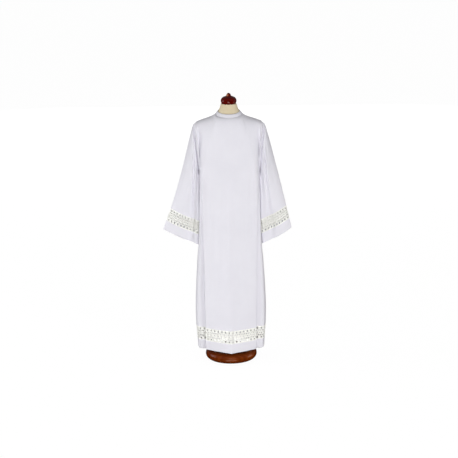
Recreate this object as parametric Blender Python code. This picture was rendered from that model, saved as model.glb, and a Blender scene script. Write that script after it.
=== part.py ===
"""Long white alb with openwork bands at hem and cuffs, worn by a limbless dress form on a turned foot.

Metres, +Z up. The centre of the foot's underside is the origin and the front of the robe faces -Y.
Right and left are the wearer's, so the left sleeve is on the +X side.
"""

import math

import bmesh
import bpy
from mathutils import Vector

# Cloth wall, and the gap that parts two pieces at a seam.
WALL = 0.0015
SEAM_GAP = 0.0003

# Heights of the body, from the floor.
HEM_HEIGHT = 0.077
LACE_FOOT_HEIGHT = 0.134
LACE_BAND = 0.0785
LACE_TOP_HEIGHT = LACE_FOOT_HEIGHT + LACE_BAND
UNDERARM_HEIGHT = 1.170
BODY_ROW_HEIGHTS = (0.36, 0.52, 0.68, 0.82, 0.94, 1.06, UNDERARM_HEIGHT)
YOKE_ROWS = (0.14, 0.30, 0.46, 0.62, 0.77, 0.90, 1.0)

# Half sections of the body, from the centre line round to the side seam. Each station is the distance from
# the centre line and the depth from the plane of the side seams. A fold is a station where the cloth turns
# back: out to a panel edge, then in to the tuck behind it. The tucks open out flat towards the underarm.
FRONT_STATIONS = (
    # station, openwork repeats in the stretch that ends there, folded, bow of that stretch
    ("ridge", 0, False, 0.0),
    ("panel edge", 7, True, 0.02),
    ("tuck", 2, True, 0.0),
    ("side", 3, False, 0.02),
    ("seam", 3, False, 0.01),
)
FRONT_SECTIONS = (
    # height, ridge, panel edge, tuck, side, seam
    (0.077, (0.0, 0.171), (0.153, 0.081), (0.112, 0.060), (0.191, 0.058), (0.200, 0.0)),
    (0.300, (0.0, 0.157), (0.155, 0.088), (0.118, 0.064), (0.202, 0.058), (0.212, 0.0)),
    (0.600, (0.0, 0.147), (0.158, 0.088), (0.128, 0.066), (0.192, 0.058), (0.199, 0.0)),
    (0.850, (0.0, 0.142), (0.162, 0.087), (0.145, 0.069), (0.184, 0.059), (0.177, 0.0)),
    (1.020, (0.0, 0.138), (0.158, 0.094), (0.168, 0.077), (0.181, 0.058), (0.173, 0.0)),
    (1.170, (0.0, 0.135), (0.146, 0.107), (0.167, 0.085), (0.178, 0.055), (0.181, 0.0)),
)
BACK_STATIONS = (
    ("centre", 0, False, 0.0),
    ("inner edge", 4, True, 0.0),
    ("inner tuck", 2, True, 0.0),
    ("outer edge", 4, True, 0.02),
    ("outer tuck", 2, True, 0.0),
    ("side", 3, False, 0.02),
    ("seam", 3, False, 0.01),
)
BACK_SECTIONS = (
    # height, centre, inner edge, inner tuck, outer edge, outer tuck, side, seam
    (0.077, (0.0, 0.142), (0.096, 0.146), (0.060, 0.112),
     (0.162, 0.098), (0.124, 0.070), (0.191, 0.056), (0.200, 0.0)),
    (0.300, (0.0, 0.138), (0.092, 0.142), (0.061, 0.111),
     (0.165, 0.097), (0.131, 0.071), (0.202, 0.055), (0.212, 0.0)),
    (0.600, (0.0, 0.133), (0.084, 0.136), (0.062, 0.109),
     (0.164, 0.094), (0.141, 0.070), (0.192, 0.054), (0.199, 0.0)),
    (0.850, (0.0, 0.127), (0.074, 0.128), (0.066, 0.110),
     (0.157, 0.090), (0.151, 0.071), (0.184, 0.054), (0.177, 0.0)),
    (1.020, (0.0, 0.122), (0.062, 0.120), (0.078, 0.113),
     (0.146, 0.091), (0.164, 0.076), (0.181, 0.054), (0.173, 0.0)),
    (1.170, (0.0, 0.118), (0.050, 0.116), (0.078, 0.112),
     (0.140, 0.097), (0.164, 0.081), (0.178, 0.052), (0.181, 0.0)),
)
FOLD_RADIUS = 0.004

# Neckline: an ellipse in a plane that tips forward. The collar band leans in from its seam to its top.
NECK_CENTRE_Y = -0.004
NECK_TIP = 0.147
NECK_SEAM = {"half_width": 0.079, "half_depth": 0.076, "height": 1.510}
NECK_TOP = {"half_width": 0.0645, "half_depth": 0.065, "height": 1.5260}

# Line of the shoulder seam, from the neckline to the shoulder tip: distance from the centre line, height.
SHOULDER_LINE = (
    (0.079, 1.510), (0.092, 1.500), (0.108, 1.492), (0.132, 1.4835), (0.162, 1.4735), (0.187, 1.462),
)
SHOULDER_TIP = (0.2075, 1.4475)
UNDERARM_X = 0.181
NECK_COLUMNS = 7

# Armhole: a flat loop from the underarm to the shoulder tip and back.
ARMHOLE_DEPTH = 0.070

# Sleeves. The cuff is tilted, so its outer corner hangs higher than its inner one.
SLEEVE_COLUMNS = 10
SLEEVE_ROWS = (0.05, 0.13, 0.25, 0.39, 0.54, 0.70, 0.85, 1.0)
CUFF_BORDER = 0.057
SLEEVES = {
    # side: sign of X, cuff and lace corners (distance from the centre line, height), half depths of the
    # ring at the cuff and at the lace, and the folds as (column, depth) counted from the outer edge
    "right": {
        "sign": -1,
        "cuff_outer": (0.399, 0.8095),
        "cuff_inner": (0.1940, 0.7180),
        "outer_slope": 0.370,
        "inner_slope": 0.055,
        "cuff_depth": 0.028,
        "lace_depth": 0.036,
        "front_fold": (8.0, 0.007),
        "back_fold": (6.5, 0.012),
    },
    "left": {
        "sign": 1,
        "cuff_outer": (0.368, 0.8120),
        "cuff_inner": (0.1950, 0.7205),
        "outer_slope": 0.235,
        "inner_slope": 0.060,
        "cuff_depth": 0.042,
        "lace_depth": 0.044,
        "front_fold": (6.5, 0.008),
        "back_fold": (7.5, 0.012),
    },
}

# Openwork: each repeat has one lozenge-shaped gap at the top and one at the foot of the band.
GAP_WIDTH = 0.008
GAP_HEIGHT = 0.012
GAP_MARGIN = 0.0095

# Dress form.
FOOT_PROFILE = (
    # radius, height
    (0.0, 0.0), (0.1270, 0.0), (0.1375, 0.0025), (0.1455, 0.0085), (0.1515, 0.0165), (0.1540, 0.0260),
    (0.1535, 0.0370), (0.1490, 0.0475), (0.1400, 0.0545), (0.1170, 0.0590), (0.0, 0.0620),
)
CAP_PROFILE = (
    (0.0, 1.5690), (0.0405, 1.5690), (0.0448, 1.5765), (0.0463, 1.5860), (0.0440, 1.5955), (0.0375, 1.6035),
    (0.0270, 1.6090), (0.0175, 1.6125), (0.0140, 1.6165), (0.0120, 1.6225), (0.0075, 1.6285), (0.0, 1.6314),
)
POLE_RADIUS = 0.0175
TORSO_FOOT_HEIGHT = 0.780
TORSO_SECTIONS = (
    # height, half width, half depth, roundness (2 is an ellipse, less is closer to a lozenge)
    (0.780, 0.060, 0.040, 2.0),
    (0.785, 0.118, 0.078, 2.1),
    (0.800, 0.142, 0.096, 2.2),
    (0.850, 0.153, 0.105, 2.2),
    (0.950, 0.148, 0.101, 2.2),
    (1.050, 0.140, 0.096, 2.2),
    (1.150, 0.150, 0.103, 2.2),
    (1.250, 0.164, 0.112, 2.2),
    (1.330, 0.175, 0.108, 2.0),
    (1.390, 0.184, 0.093, 1.8),
    (1.425, 0.188, 0.081, 1.65),
    (1.447, 0.187, 0.074, 1.55),
    (1.4595, 0.179, 0.071, 1.5),
    (1.4697, 0.166, 0.069, 1.5),
    (1.4777, 0.143, 0.067, 1.5),
    (1.4837, 0.123, 0.066, 1.55),
    (1.4907, 0.1045, 0.065, 1.6),
    (1.4992, 0.0880, 0.064, 1.7),
    (1.5080, 0.0770, 0.063, 1.85),
    (1.5165, 0.0680, 0.0610, 2.0),
    (1.5270, 0.0612, 0.0583, 2.0),
    (1.5390, 0.0560, 0.0545, 2.0),
    (1.5540, 0.0500, 0.0490, 2.0),
    (1.5687, 0.0445, 0.0445, 2.0),
)
TORSO_COLUMNS = 28
ROUND_COLUMNS = 32
POLE_COLUMNS = 16

# Colours, linear.
CLOTH_WHITE = (0.80, 0.79, 0.86)
LACE_IVORY = (0.83, 0.82, 0.74)
FORM_CREAM = (0.72, 0.60, 0.42)
FOOT_WOOD = (0.14, 0.035, 0.012)
CAP_WOOD = (0.07, 0.006, 0.004)
POLE_WHITE = (0.76, 0.75, 0.73)


def clear_scene():
    for obj in list(bpy.data.objects):
        bpy.data.objects.remove(obj, do_unlink=True)


def make_material(name, colour, roughness):
    material = bpy.data.materials.new(name)
    material.use_nodes = True
    shader = material.node_tree.nodes["Principled BSDF"]
    shader.inputs["Base Color"].default_value = (*colour, 1.0)
    shader.inputs["Roughness"].default_value = roughness
    material.diffuse_color = (*colour, 1.0)
    return material


def add_object(name, points, faces, material):
    """One closed mesh object with its faces turned outwards."""
    mesh = bpy.data.meshes.new(name)
    mesh.from_pydata([tuple(p) for p in points], [], faces)
    shell = bmesh.new()
    shell.from_mesh(mesh)
    bmesh.ops.recalc_face_normals(shell, faces=shell.faces)
    shell.to_mesh(mesh)
    shell.free()
    mesh.shade_smooth()
    mesh.set_sharp_from_angle(angle=math.radians(50))
    mesh.materials.append(material)
    obj = bpy.data.objects.new(name, mesh)
    bpy.context.scene.collection.objects.link(obj)
    return obj


# ---------------------------------------------------------------- walls


def triangles(a, b, c, d):
    return [(a, b, c), (a, c, d)]


def edge_of_wall(a, b, inner, forward):
    """The narrow face that joins outer edge a-b to the inner edge behind it."""
    corners = (a, b, inner + b, inner + a)
    return triangles(*corners) if forward else triangles(*reversed(corners))


def mitre(before, along, after, up):
    """Outward direction at a point of a row, scaled so that a wall offset by it keeps its thickness.

    before, along and after are three neighbours of the row; at an end two of them are the same point.
    """
    first = (along - before).cross(up) if (along - before).length > 1e-9 else None
    second = (after - along).cross(up) if (after - along).length > 1e-9 else None
    first = first or second
    second = second or first
    first = first.normalized()
    second = second.normalized()
    return (first + second) / (1.0 + first.dot(second))


def row_normals(rows, closed=False, fixed_up=None):
    """Outward directions for a grid of rows, lowest row first. fixed_up gives a row's own plane normal."""
    fixed_up = fixed_up or {}
    normals = []
    for i, row in enumerate(rows):
        below = rows[max(i - 1, 0)]
        above = rows[min(i + 1, len(rows) - 1)]
        count = len(row)
        line = []
        for j, point in enumerate(row):
            before = row[(j - 1) % count] if closed else row[max(j - 1, 0)]
            after = row[(j + 1) % count] if closed else row[min(j + 1, count - 1)]
            up = fixed_up.get(i) or (above[j] - below[j])
            line.append(mitre(before, point, after, up))
        normals.append(line)
    return normals


def in_seam_plane(normal):
    """Turns an offset into the plane of a side or shoulder seam, so that two panels end face to face."""
    flat = Vector((normal.x, 0.0, normal.z))
    return flat.normalized()


def add_wall(name, rows, normals, material, closed=False):
    """A cloth wall: outer grid, inner grid one wall thickness behind it, and the edges between them."""
    row_count = len(rows)
    count = len(rows[0])
    points = [p for row in rows for p in row]
    points += [p - n * WALL for row, line in zip(rows, normals) for p, n in zip(row, line)]
    inner = row_count * count
    faces = []
    for i in range(row_count - 1):
        for j in range(count if closed else count - 1):
            k = (j + 1) % count
            corners = (i * count + j, i * count + k, (i + 1) * count + k, (i + 1) * count + j)
            faces += triangles(*corners)
            faces += [tuple(inner + c for c in reversed(face)) for face in triangles(*corners)]
    for i in (0, row_count - 1):
        for j in range(count if closed else count - 1):
            faces += edge_of_wall(i * count + j, i * count + (j + 1) % count, inner, i > 0)
    if not closed:
        for j in (0, count - 1):
            for i in range(row_count - 1):
                faces += edge_of_wall(i * count + j, (i + 1) * count + j, inner, j == 0)
    return add_object(name, points, faces, material)


# ---------------------------------------------------------------- tables and curves


def smooth_read(table, at):
    """Values at a height, on a smooth curve through a table's rows, whose first column is the height."""
    last = len(table) - 1
    i = max(k for k in range(last) if k == 0 or table[k][0] <= at)
    low = table[i]
    high = table[i + 1]
    span = high[0] - low[0]
    t = (at - low[0]) / span

    def slope(k, pick):
        a = table[max(k - 1, 0)]
        b = table[min(k + 1, last)]
        return (pick(b) - pick(a)) / (b[0] - a[0])

    def blend(pick):
        m0 = slope(i, pick) * span
        m1 = slope(i + 1, pick) * span
        rise = t * t * (3.0 - 2.0 * t)
        start = t * (1.0 - t) ** 2
        end = -t * t * (1.0 - t)
        return pick(low) + (pick(high) - pick(low)) * rise + m0 * start + m1 * end

    values = []
    for column in range(1, len(low)):
        if isinstance(low[column], tuple):
            values.append(tuple(blend(lambda row, c=column, k=k: row[c][k]) for k in (0, 1)))
        else:
            values.append(blend(lambda row, c=column: row[c]))
    return values


def bezier(p0, p1, p2, p3, t):
    s = 1.0 - t
    return p0 * s**3 + p1 * 3 * s * s * t + p2 * 3 * s * t * t + p3 * t**3


def between(a, b, t):
    return a + (b - a) * t


def stretch(start, end, start_folded, end_folded, bow, cells):
    """Points along one stretch of a section, bowed outwards, stopping short of the folds at its ends."""
    run = end - start
    way = run.normalized()
    start = start + way * (FOLD_RADIUS if start_folded else 0.0)
    end = end - way * (FOLD_RADIUS if end_folded else 0.0)
    out = Vector((-way.y, way.x)) * bow * run.length
    points = []
    for k in range(cells + 1):
        t = k / cells
        points.append(between(start, end, t) + out * 4.0 * t * (1.0 - t))
    return points


def half_section(stations, sections, height):
    """Half a section of the body at a height, from the centre line to the side seam, as (x, depth)."""
    marks = [Vector(mark) for mark in smooth_read(sections, height)]
    points = [marks[0]]
    for k in range(1, len(stations)):
        start_folded = stations[k - 1][2]
        run = stretch(marks[k - 1], marks[k], start_folded, stations[k][2], stations[k][3], stations[k][1])
        points += run if start_folded else run[1:]
    return points


def plain_columns(stations):
    """For each gap between two columns of a half section, whether it is the turn of a fold."""
    plain = []
    for _, cells, folded, _ in stations[1:]:
        plain += [False] * cells
        if folded:
            plain.append(True)
    return plain


# ---------------------------------------------------------------- body


PANELS = {
    # face: sign of Y, stations, sections
    "front": (-1, FRONT_STATIONS, FRONT_SECTIONS),
    "back": (1, BACK_STATIONS, BACK_SECTIONS),
}
ARMHOLE_HANDLE = ARMHOLE_DEPTH * 4.0 / 3.0
YOKE_RISE = 0.14
YOKE_SWELL = 0.010
CENTRE_HANDLE = 0.132
SHOULDER_HANDLE = 0.116
NECK_DROP = 0.035


def neck_point(ring, angle):
    """A point of a neckline ring; the angle is 0 at the +X side and -90 degrees at the centre front."""
    y = NECK_CENTRE_Y + ring["half_depth"] * math.sin(angle)
    return Vector((ring["half_width"] * math.cos(angle), y, ring["height"] + NECK_TIP * y))


def neck_outward(angle):
    """Outward direction of the cloth on both sides of the neck seam."""
    return Vector((math.cos(angle), math.sin(angle), 1.0)).normalized()


def neck_angle(sign, step):
    """Angle of a neckline column of the +X half: 0 is the centre front or back, the last the shoulder."""
    shoulder = math.asin((sign * SEAM_GAP / 2 - NECK_CENTRE_Y) / NECK_SEAM["half_depth"])
    return between(sign * math.pi / 2, shoulder, step / NECK_COLUMNS)


def shoulder_point(along, sign):
    """A point of the shoulder seam: along is 0 at the neckline and 1 at the shoulder tip."""
    line = SHOULDER_LINE + (SHOULDER_TIP,)
    x = between(line[0][0], line[-1][0], along)
    height = smooth_read(line, x)[0]
    return Vector((x, sign * SEAM_GAP / 2, height))


def armhole_point(sign, up):
    """A point of the armhole on the +X side: up is 0 at the underarm and 1 at the shoulder tip."""
    handle = Vector((0.0, sign * ARMHOLE_HANDLE, 0.0))
    low = Vector((UNDERARM_X, 0.0, UNDERARM_HEIGHT))
    high = Vector((SHOULDER_TIP[0], 0.0, SHOULDER_TIP[1]))
    point = bezier(low, low + handle, high + handle, high, up)
    point.y = sign * max(sign * point.y, SEAM_GAP / 2)
    return point


def armhole_outward(sign, up):
    """Direction away from the middle of the armhole, in its plane, for the walls on both sides of it."""
    low = Vector((UNDERARM_X, 0.0, UNDERARM_HEIGHT))
    high = Vector((SHOULDER_TIP[0], 0.0, SHOULDER_TIP[1]))
    spoke = armhole_point(sign, up) - (low + high) / 2
    if up in (0.0, 1.0):
        spoke.y = 0.0
    return spoke.normalized()


def body_row(face, height):
    """A whole row of a body panel below the underarm, in the order that turns its outside outwards."""
    sign, stations, sections = PANELS[face]
    half = half_section(stations, sections, height)
    depth = [max(p.y, SEAM_GAP / 2) for p in half]
    plus = [Vector((p.x, sign * d, height)) for p, d in zip(half, depth)]
    minus = [Vector((-p.x, p.y, p.z)) for p in plus[:0:-1]]
    row = minus + plus
    return row if sign < 0 else row[::-1]


def yoke_columns(face):
    """For each column of the +X half: the curve that carries it from the underarm row over the shoulder."""
    sign, stations, sections = PANELS[face]
    half = half_section(stations, sections, UNDERARM_HEIGHT)
    last = len(half) - 1
    side = last - stations[-1][1]
    columns = []
    for j, mark in enumerate(half):
        low = Vector((mark.x, sign * max(mark.y, SEAM_GAP / 2), UNDERARM_HEIGHT))
        if j < NECK_COLUMNS:
            high = neck_point(NECK_SEAM, neck_angle(sign, j))
            part = j / NECK_COLUMNS
            handle_depth = between(CENTRE_HANDLE, SHOULDER_HANDLE, part)
            drop = NECK_DROP * (1.0 - part) ** 2
        else:
            along = (j - NECK_COLUMNS) / (last - NECK_COLUMNS)
            high = shoulder_point(along, sign)
            handle_depth = between(SHOULDER_HANDLE, ARMHOLE_HANDLE, along)
            drop = 0.0
        turn = max(0.0, (j - side) / (last - side))
        swell = YOKE_SWELL * math.sin(math.pi * j / last)
        rise = Vector((0.0, sign * swell, YOKE_RISE))
        handle = between(rise, Vector((0.0, sign * ARMHOLE_HANDLE, 0.0)), turn * turn * (3.0 - 2.0 * turn))
        columns.append((low, low + handle, Vector((high.x, sign * handle_depth, high.z - drop)), high))
    return columns


def yoke_row(face, up):
    sign = PANELS[face][0]
    plus = [bezier(*curve, up) for curve in yoke_columns(face)]
    plus[-1] = armhole_point(sign, up)
    minus = [Vector((-p.x, p.y, p.z)) for p in plus[:0:-1]]
    row = minus + plus
    return row if sign < 0 else row[::-1]


def body_normals(face, rows, yoke_start):
    sign = PANELS[face][0]
    normals = row_normals(rows, fixed_up={0: Vector((0.0, 0.0, 1.0))})
    last_column = len(rows[0]) - 1
    middle = last_column // 2
    for i, line in enumerate(normals):
        for j in (0, last_column):
            line[j] = in_seam_plane(line[j])
            if i < yoke_start:
                continue
            up = 0.0 if i == yoke_start else YOKE_ROWS[i - yoke_start - 1]
            out = armhole_outward(sign, up)
            line[j] = Vector((math.copysign(out.x, out.x * rows[i][j].x), out.y, out.z))
    top = normals[-1]
    for j in range(1, last_column):
        steps = abs(j - middle)
        if steps <= NECK_COLUMNS:
            out = neck_outward(0.0 if steps == NECK_COLUMNS else neck_angle(sign, steps))
            top[j] = Vector((math.copysign(out.x, rows[-1][j].x), out.y, out.z))
        else:
            top[j] = in_seam_plane(top[j])
    return normals


def add_body_panel(face, material):
    heights = (LACE_TOP_HEIGHT + SEAM_GAP,) + BODY_ROW_HEIGHTS
    rows = [body_row(face, height) for height in heights]
    rows += [yoke_row(face, up) for up in YOKE_ROWS]
    normals = body_normals(face, rows, len(heights) - 1)
    add_wall("alb_" + face, rows, normals, material)


def add_flat_band(name, face, heights, material):
    rows = [body_row(face, height) for height in heights]
    level = Vector((0.0, 0.0, 1.0))
    normals = row_normals(rows, fixed_up={i: level for i in range(len(rows))})
    for line in normals:
        line[0] = in_seam_plane(line[0])
        line[-1] = in_seam_plane(line[-1])
    add_wall(name, rows, normals, material)


def add_collar(material):
    plus = [neck_angle(-1, step) for step in range(NECK_COLUMNS + 1)]
    plus += [neck_angle(1, step) for step in range(NECK_COLUMNS - 1, -1, -1)]
    angles = plus + [math.pi - angle for angle in plus[-2:0:-1]]
    foot = [neck_point(NECK_SEAM, angle) for angle in angles]
    top = [neck_point(NECK_TOP, angle) for angle in angles]
    foot = [low + (high - low).normalized() * SEAM_GAP for low, high in zip(foot, top)]
    rows = [foot, top]
    normals = row_normals(rows, closed=True)
    normals[0] = [neck_outward(angle) for angle in angles]
    add_wall("alb_collar", rows, normals, material, closed=True)


# ---------------------------------------------------------------- openwork


def add_lace(name, foot, top, plain, level, band, material):
    """An openwork band between two rows of points. Each repeat has a gap at its foot and one at its top.

    plain marks the turns of folds, which stay whole; level is the normal of the planes that the rows lie in.
    """
    marks = (0.0, 2 * GAP_MARGIN / band, 1.0 - 2 * GAP_MARGIN / band, 1.0)
    outward = row_normals([foot, top], fixed_up={0: level, 1: level})
    for line in outward:
        line[0] = in_seam_plane(line[0])
        line[-1] = in_seam_plane(line[-1])
    outer = []
    inner = []

    def add_point(point, normal):
        outer.append(point)
        inner.append(point - normal * WALL)
        return len(outer) - 1

    grid = []
    for mark in marks:
        line = []
        for j in range(len(foot)):
            normal = between(outward[0][j], outward[1][j], mark)
            line.append(add_point(between(foot[j], top[j], mark), normal))
        grid.append(line)
    faces = []
    rims = []
    for j in range(len(foot) - 1):
        for i in range(3):
            a, b, c, d = grid[i][j], grid[i][j + 1], grid[i + 1][j + 1], grid[i + 1][j]
            if plain[j] or i == 1:
                faces += triangles(a, b, c, d)
                continue
            left = (outer[a] + outer[d]) / 2
            right = (outer[b] + outer[c]) / 2
            low = (outer[a] + outer[b]) / 2
            high = (outer[c] + outer[d]) / 2
            centre = (left + right) / 2
            across = (right - left).normalized() * GAP_WIDTH / 2
            upward = (high - low).normalized() * GAP_HEIGHT / 2
            flat = (right - left).cross(level).normalized()
            gap = [add_point(centre + step, flat) for step in (-upward, across, upward, -across)]
            south, east, north, west = gap
            faces += [(a, b, south), (b, c, east), (c, d, north), (d, a, west)]
            faces += [(a, south, west), (b, east, south), (c, north, east), (d, west, north)]
            rims += [(gap[k], gap[(k + 1) % 4]) for k in range(4)]
    count = len(outer)
    faces += [tuple(count + c for c in reversed(face)) for face in faces]
    for a, b in rims:
        faces += edge_of_wall(a, b, count, True)
    for line in (grid[0], grid[-1]):
        for a, b in zip(line, line[1:]):
            faces += edge_of_wall(a, b, count, line is not grid[0])
    for j in (0, -1):
        for low, high in zip(grid, grid[1:]):
            faces += edge_of_wall(low[j], high[j], count, j == 0)
    add_object(name, outer + inner, faces, material)


def add_hem_bands(face, cloth, lace):
    sign, stations, _ = PANELS[face]
    half = plain_columns(stations)
    plain = half[::-1] + half
    foot = body_row(face, LACE_FOOT_HEIGHT)
    top = body_row(face, LACE_TOP_HEIGHT)
    add_lace("hem_lace_" + face, foot, top, plain, Vector((0.0, 0.0, 1.0)), LACE_BAND, lace)
    border = (HEM_HEIGHT, (HEM_HEIGHT + LACE_FOOT_HEIGHT) / 2, LACE_FOOT_HEIGHT - SEAM_GAP)
    add_flat_band("hem_border_" + face, face, border, cloth)


# ---------------------------------------------------------------- sleeves


SHOULDER_REACH = 0.0127
UNDERARM_REACH = 0.005
FRONT_REACH = 0.012
UNDERARM_DROP = 0.095
SHOULDER_DROP = 0.0075
LOWER_HANDLE = 0.19
SLEEVE_SWELL = 0.010


def cuff_frame(sleeve):
    """Corners of the cuff, the normal of its plane that points up the sleeve, and the way up each edge."""
    outer = Vector((sleeve["cuff_outer"][0], 0.0, sleeve["cuff_outer"][1]))
    inner = Vector((sleeve["cuff_inner"][0], 0.0, sleeve["cuff_inner"][1]))
    line = (outer - inner).normalized()
    level = Vector((-line.z, 0.0, line.x))
    outer_way = Vector((-sleeve["outer_slope"], 0.0, 1.0)).normalized()
    inner_way = Vector((-sleeve["inner_slope"], 0.0, 1.0)).normalized()
    return outer, inner, level, outer_way, inner_way


def fold_at(fold, column):
    """Inward depth of a soft fold with a roll beside it, at a column counted from the outer edge."""
    centre, depth = fold
    trough = math.exp(-(((column - centre) / 0.9) ** 2))
    roll = math.exp(-(((column - centre - 1.7) / 0.8) ** 2))
    return depth * (trough - 0.35 * roll)


def cuff_point(sleeve, column, sign, rise):
    """A point of a ring near the cuff: column runs from the outer corner to the inner one, rise is the
    distance of the ring's plane up the sleeve from the cuff edge."""
    outer, inner, level, outer_way, inner_way = cuff_frame(sleeve)
    outer = outer + outer_way * (rise / outer_way.dot(level))
    inner = inner + inner_way * (rise / inner_way.dot(level))
    along = column / SLEEVE_COLUMNS
    depth = between(sleeve["cuff_depth"], sleeve["lace_depth"], rise / (CUFF_BORDER + LACE_BAND))
    fold = sleeve["front_fold"] if sign < 0 else sleeve["back_fold"]
    swing = math.sin(math.pi * along)
    out = depth * swing**0.75 - fold_at(fold, column) * min(1.0, 2.0 * swing)
    point = between(outer, inner, along)
    point.y = sign * out
    return point


def sleeve_curve(sleeve, column, sign):
    """The curve of one column of a sleeve, from the armhole down to the top of the cuff lace."""
    up = 1.0 - column / SLEEVE_COLUMNS
    turn = math.pi * column / SLEEVE_COLUMNS
    high = armhole_point(sign, up) + Vector((SEAM_GAP, 0.0, 0.0))
    if column in (0, SLEEVE_COLUMNS):
        high.y = 0.0
    low = cuff_point(sleeve, column, sign, CUFF_BORDER + LACE_BAND)
    half = (1.0 + math.cos(turn)) / 2
    reach = Vector((
        between(UNDERARM_REACH, SHOULDER_REACH, half) + FRONT_REACH * math.sin(turn),
        sign * FRONT_REACH * math.sin(turn),
        -between(UNDERARM_DROP, SHOULDER_DROP, half),
    ))
    _, _, _, outer_way, inner_way = cuff_frame(sleeve)
    lift = between(inner_way * 0.5, outer_way, half) * LOWER_HANDLE
    lift.y = sign * SLEEVE_SWELL * math.sin(turn)
    return high, high + reach, low + lift, low


def sleeve_ring(sleeve, down):
    """A ring of points round a sleeve on the +X side: outer corner, back, inner corner, front."""
    back = [bezier(*sleeve_curve(sleeve, k, 1), down) for k in range(SLEEVE_COLUMNS + 1)]
    front = [bezier(*sleeve_curve(sleeve, k, -1), down) for k in range(SLEEVE_COLUMNS - 1, 0, -1)]
    return back + front


def cuff_ring(sleeve, rise):
    back = [cuff_point(sleeve, k, 1, rise) for k in range(SLEEVE_COLUMNS + 1)]
    front = [cuff_point(sleeve, k, -1, rise) for k in range(SLEEVE_COLUMNS - 1, 0, -1)]
    return back + front


def on_side(sleeve, row):
    """Moves a row of the +X side to the sleeve's own side, keeping the order that turns it outwards."""
    if sleeve["sign"] > 0:
        return row
    return [Vector((-p.x, p.y, p.z)) for p in reversed(row)]


def side_level(sleeve):
    level = cuff_frame(sleeve)[2]
    return Vector((level.x * sleeve["sign"], level.y, level.z))


def add_sleeve(side, material):
    sleeve = SLEEVES[side]
    lace_top = CUFF_BORDER + LACE_BAND
    rows = [on_side(sleeve, cuff_ring(sleeve, lace_top + SEAM_GAP))]
    for down in reversed(SLEEVE_ROWS[:-1]):
        rows.append(on_side(sleeve, sleeve_ring(sleeve, down)))
    rows.append(on_side(sleeve, sleeve_ring(sleeve, 0.0)))
    normals = row_normals(rows, closed=True, fixed_up={0: side_level(sleeve)})
    spokes = [armhole_outward(1, 1.0 - k / SLEEVE_COLUMNS) for k in range(SLEEVE_COLUMNS + 1)]
    spokes += [armhole_outward(-1, 1.0 - k / SLEEVE_COLUMNS) for k in range(SLEEVE_COLUMNS - 1, 0, -1)]
    normals[-1] = on_side(sleeve, spokes)
    add_wall("sleeve_" + side, rows, normals, material, closed=True)


def add_cuff(side, cloth, lace):
    sleeve = SLEEVES[side]
    level = side_level(sleeve)
    for sign, face in ((-1, "front"), (1, "back")):
        ends = []
        for rise in (CUFF_BORDER, CUFF_BORDER + LACE_BAND):
            row = [cuff_point(sleeve, k, sign, rise) for k in range(SLEEVE_COLUMNS + 1)]
            for p in row:
                p.y = sign * max(sign * p.y, SEAM_GAP / 2)
            row = row if sign > 0 else row[::-1]
            ends.append(on_side(sleeve, row))
        plain = [False] * SLEEVE_COLUMNS
        add_lace(f"cuff_lace_{side}_{face}", *ends, plain, level, LACE_BAND, lace)
    rows = [on_side(sleeve, cuff_ring(sleeve, rise)) for rise in (0.0, CUFF_BORDER - SEAM_GAP)]
    normals = row_normals(rows, closed=True, fixed_up={0: level, 1: level})
    add_wall("cuff_border_" + side, rows, normals, cloth, closed=True)


# ---------------------------------------------------------------- dress form


def add_rings(name, rings, material):
    """A closed solid through rings of points, lowest first, with a flat face or a point at each end."""
    points = []
    faces = []
    starts = []
    for ring in rings:
        starts.append(len(points))
        points += ring
    for k in range(len(rings) - 1):
        low, high = rings[k], rings[k + 1]
        count = max(len(low), len(high))
        for j in range(count):
            n = (j + 1) % count
            if len(low) == 1:
                faces.append((starts[k], starts[k + 1] + n, starts[k + 1] + j))
            elif len(high) == 1:
                faces.append((starts[k] + j, starts[k] + n, starts[k + 1]))
            else:
                faces.append((starts[k] + j, starts[k] + n, starts[k + 1] + n, starts[k + 1] + j))
    if len(rings[0]) > 1:
        faces.append(tuple(range(len(rings[0])))[::-1])
    if len(rings[-1]) > 1:
        faces.append(tuple(range(starts[-1], starts[-1] + len(rings[-1]))))
    return add_object(name, points, faces, material)


def circle(radius, height, columns):
    if radius == 0.0:
        return [Vector((0.0, 0.0, height))]
    angles = [2 * math.pi * k / columns for k in range(columns)]
    return [Vector((radius * math.cos(a), radius * math.sin(a), height)) for a in angles]


def add_turned(name, profile, columns, material):
    """A turned solid. A profile point on the axis at an end is left out, so the end is one flat face."""
    rings = [circle(radius, height, columns) for radius, height in profile]
    if profile[1][1] == profile[0][1]:
        rings = rings[1:]
    return add_rings(name, rings, material)


def torso_ring(half_width, half_depth, roundness, height):
    ring = []
    for k in range(TORSO_COLUMNS):
        angle = 2 * math.pi * k / TORSO_COLUMNS
        c, s = math.cos(angle), math.sin(angle)
        x = half_width * math.copysign(abs(c) ** (2 / roundness), c)
        y = half_depth * math.copysign(abs(s) ** (2 / roundness), s)
        ring.append(Vector((x, y, height)))
    return ring


def add_dress_form():
    cream = make_material("form_fabric", FORM_CREAM, 0.85)
    foot_wood = make_material("foot_wood", FOOT_WOOD, 0.25)
    cap_wood = make_material("cap_wood", CAP_WOOD, 0.22)
    enamel = make_material("pole_enamel", POLE_WHITE, 0.4)
    add_turned("form_foot", FOOT_PROFILE, ROUND_COLUMNS, foot_wood)
    foot_top = FOOT_PROFILE[-1][1]
    pole = ((POLE_RADIUS, foot_top + SEAM_GAP), (POLE_RADIUS, TORSO_FOOT_HEIGHT - SEAM_GAP))
    add_rings("form_pole", [circle(*end, POLE_COLUMNS) for end in pole], enamel)
    rings = [torso_ring(a, b, n, z) for z, a, b, n in TORSO_SECTIONS]
    add_rings("form_torso", rings, cream)
    add_turned("form_neck_cap", CAP_PROFILE, ROUND_COLUMNS, cap_wood)


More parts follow.
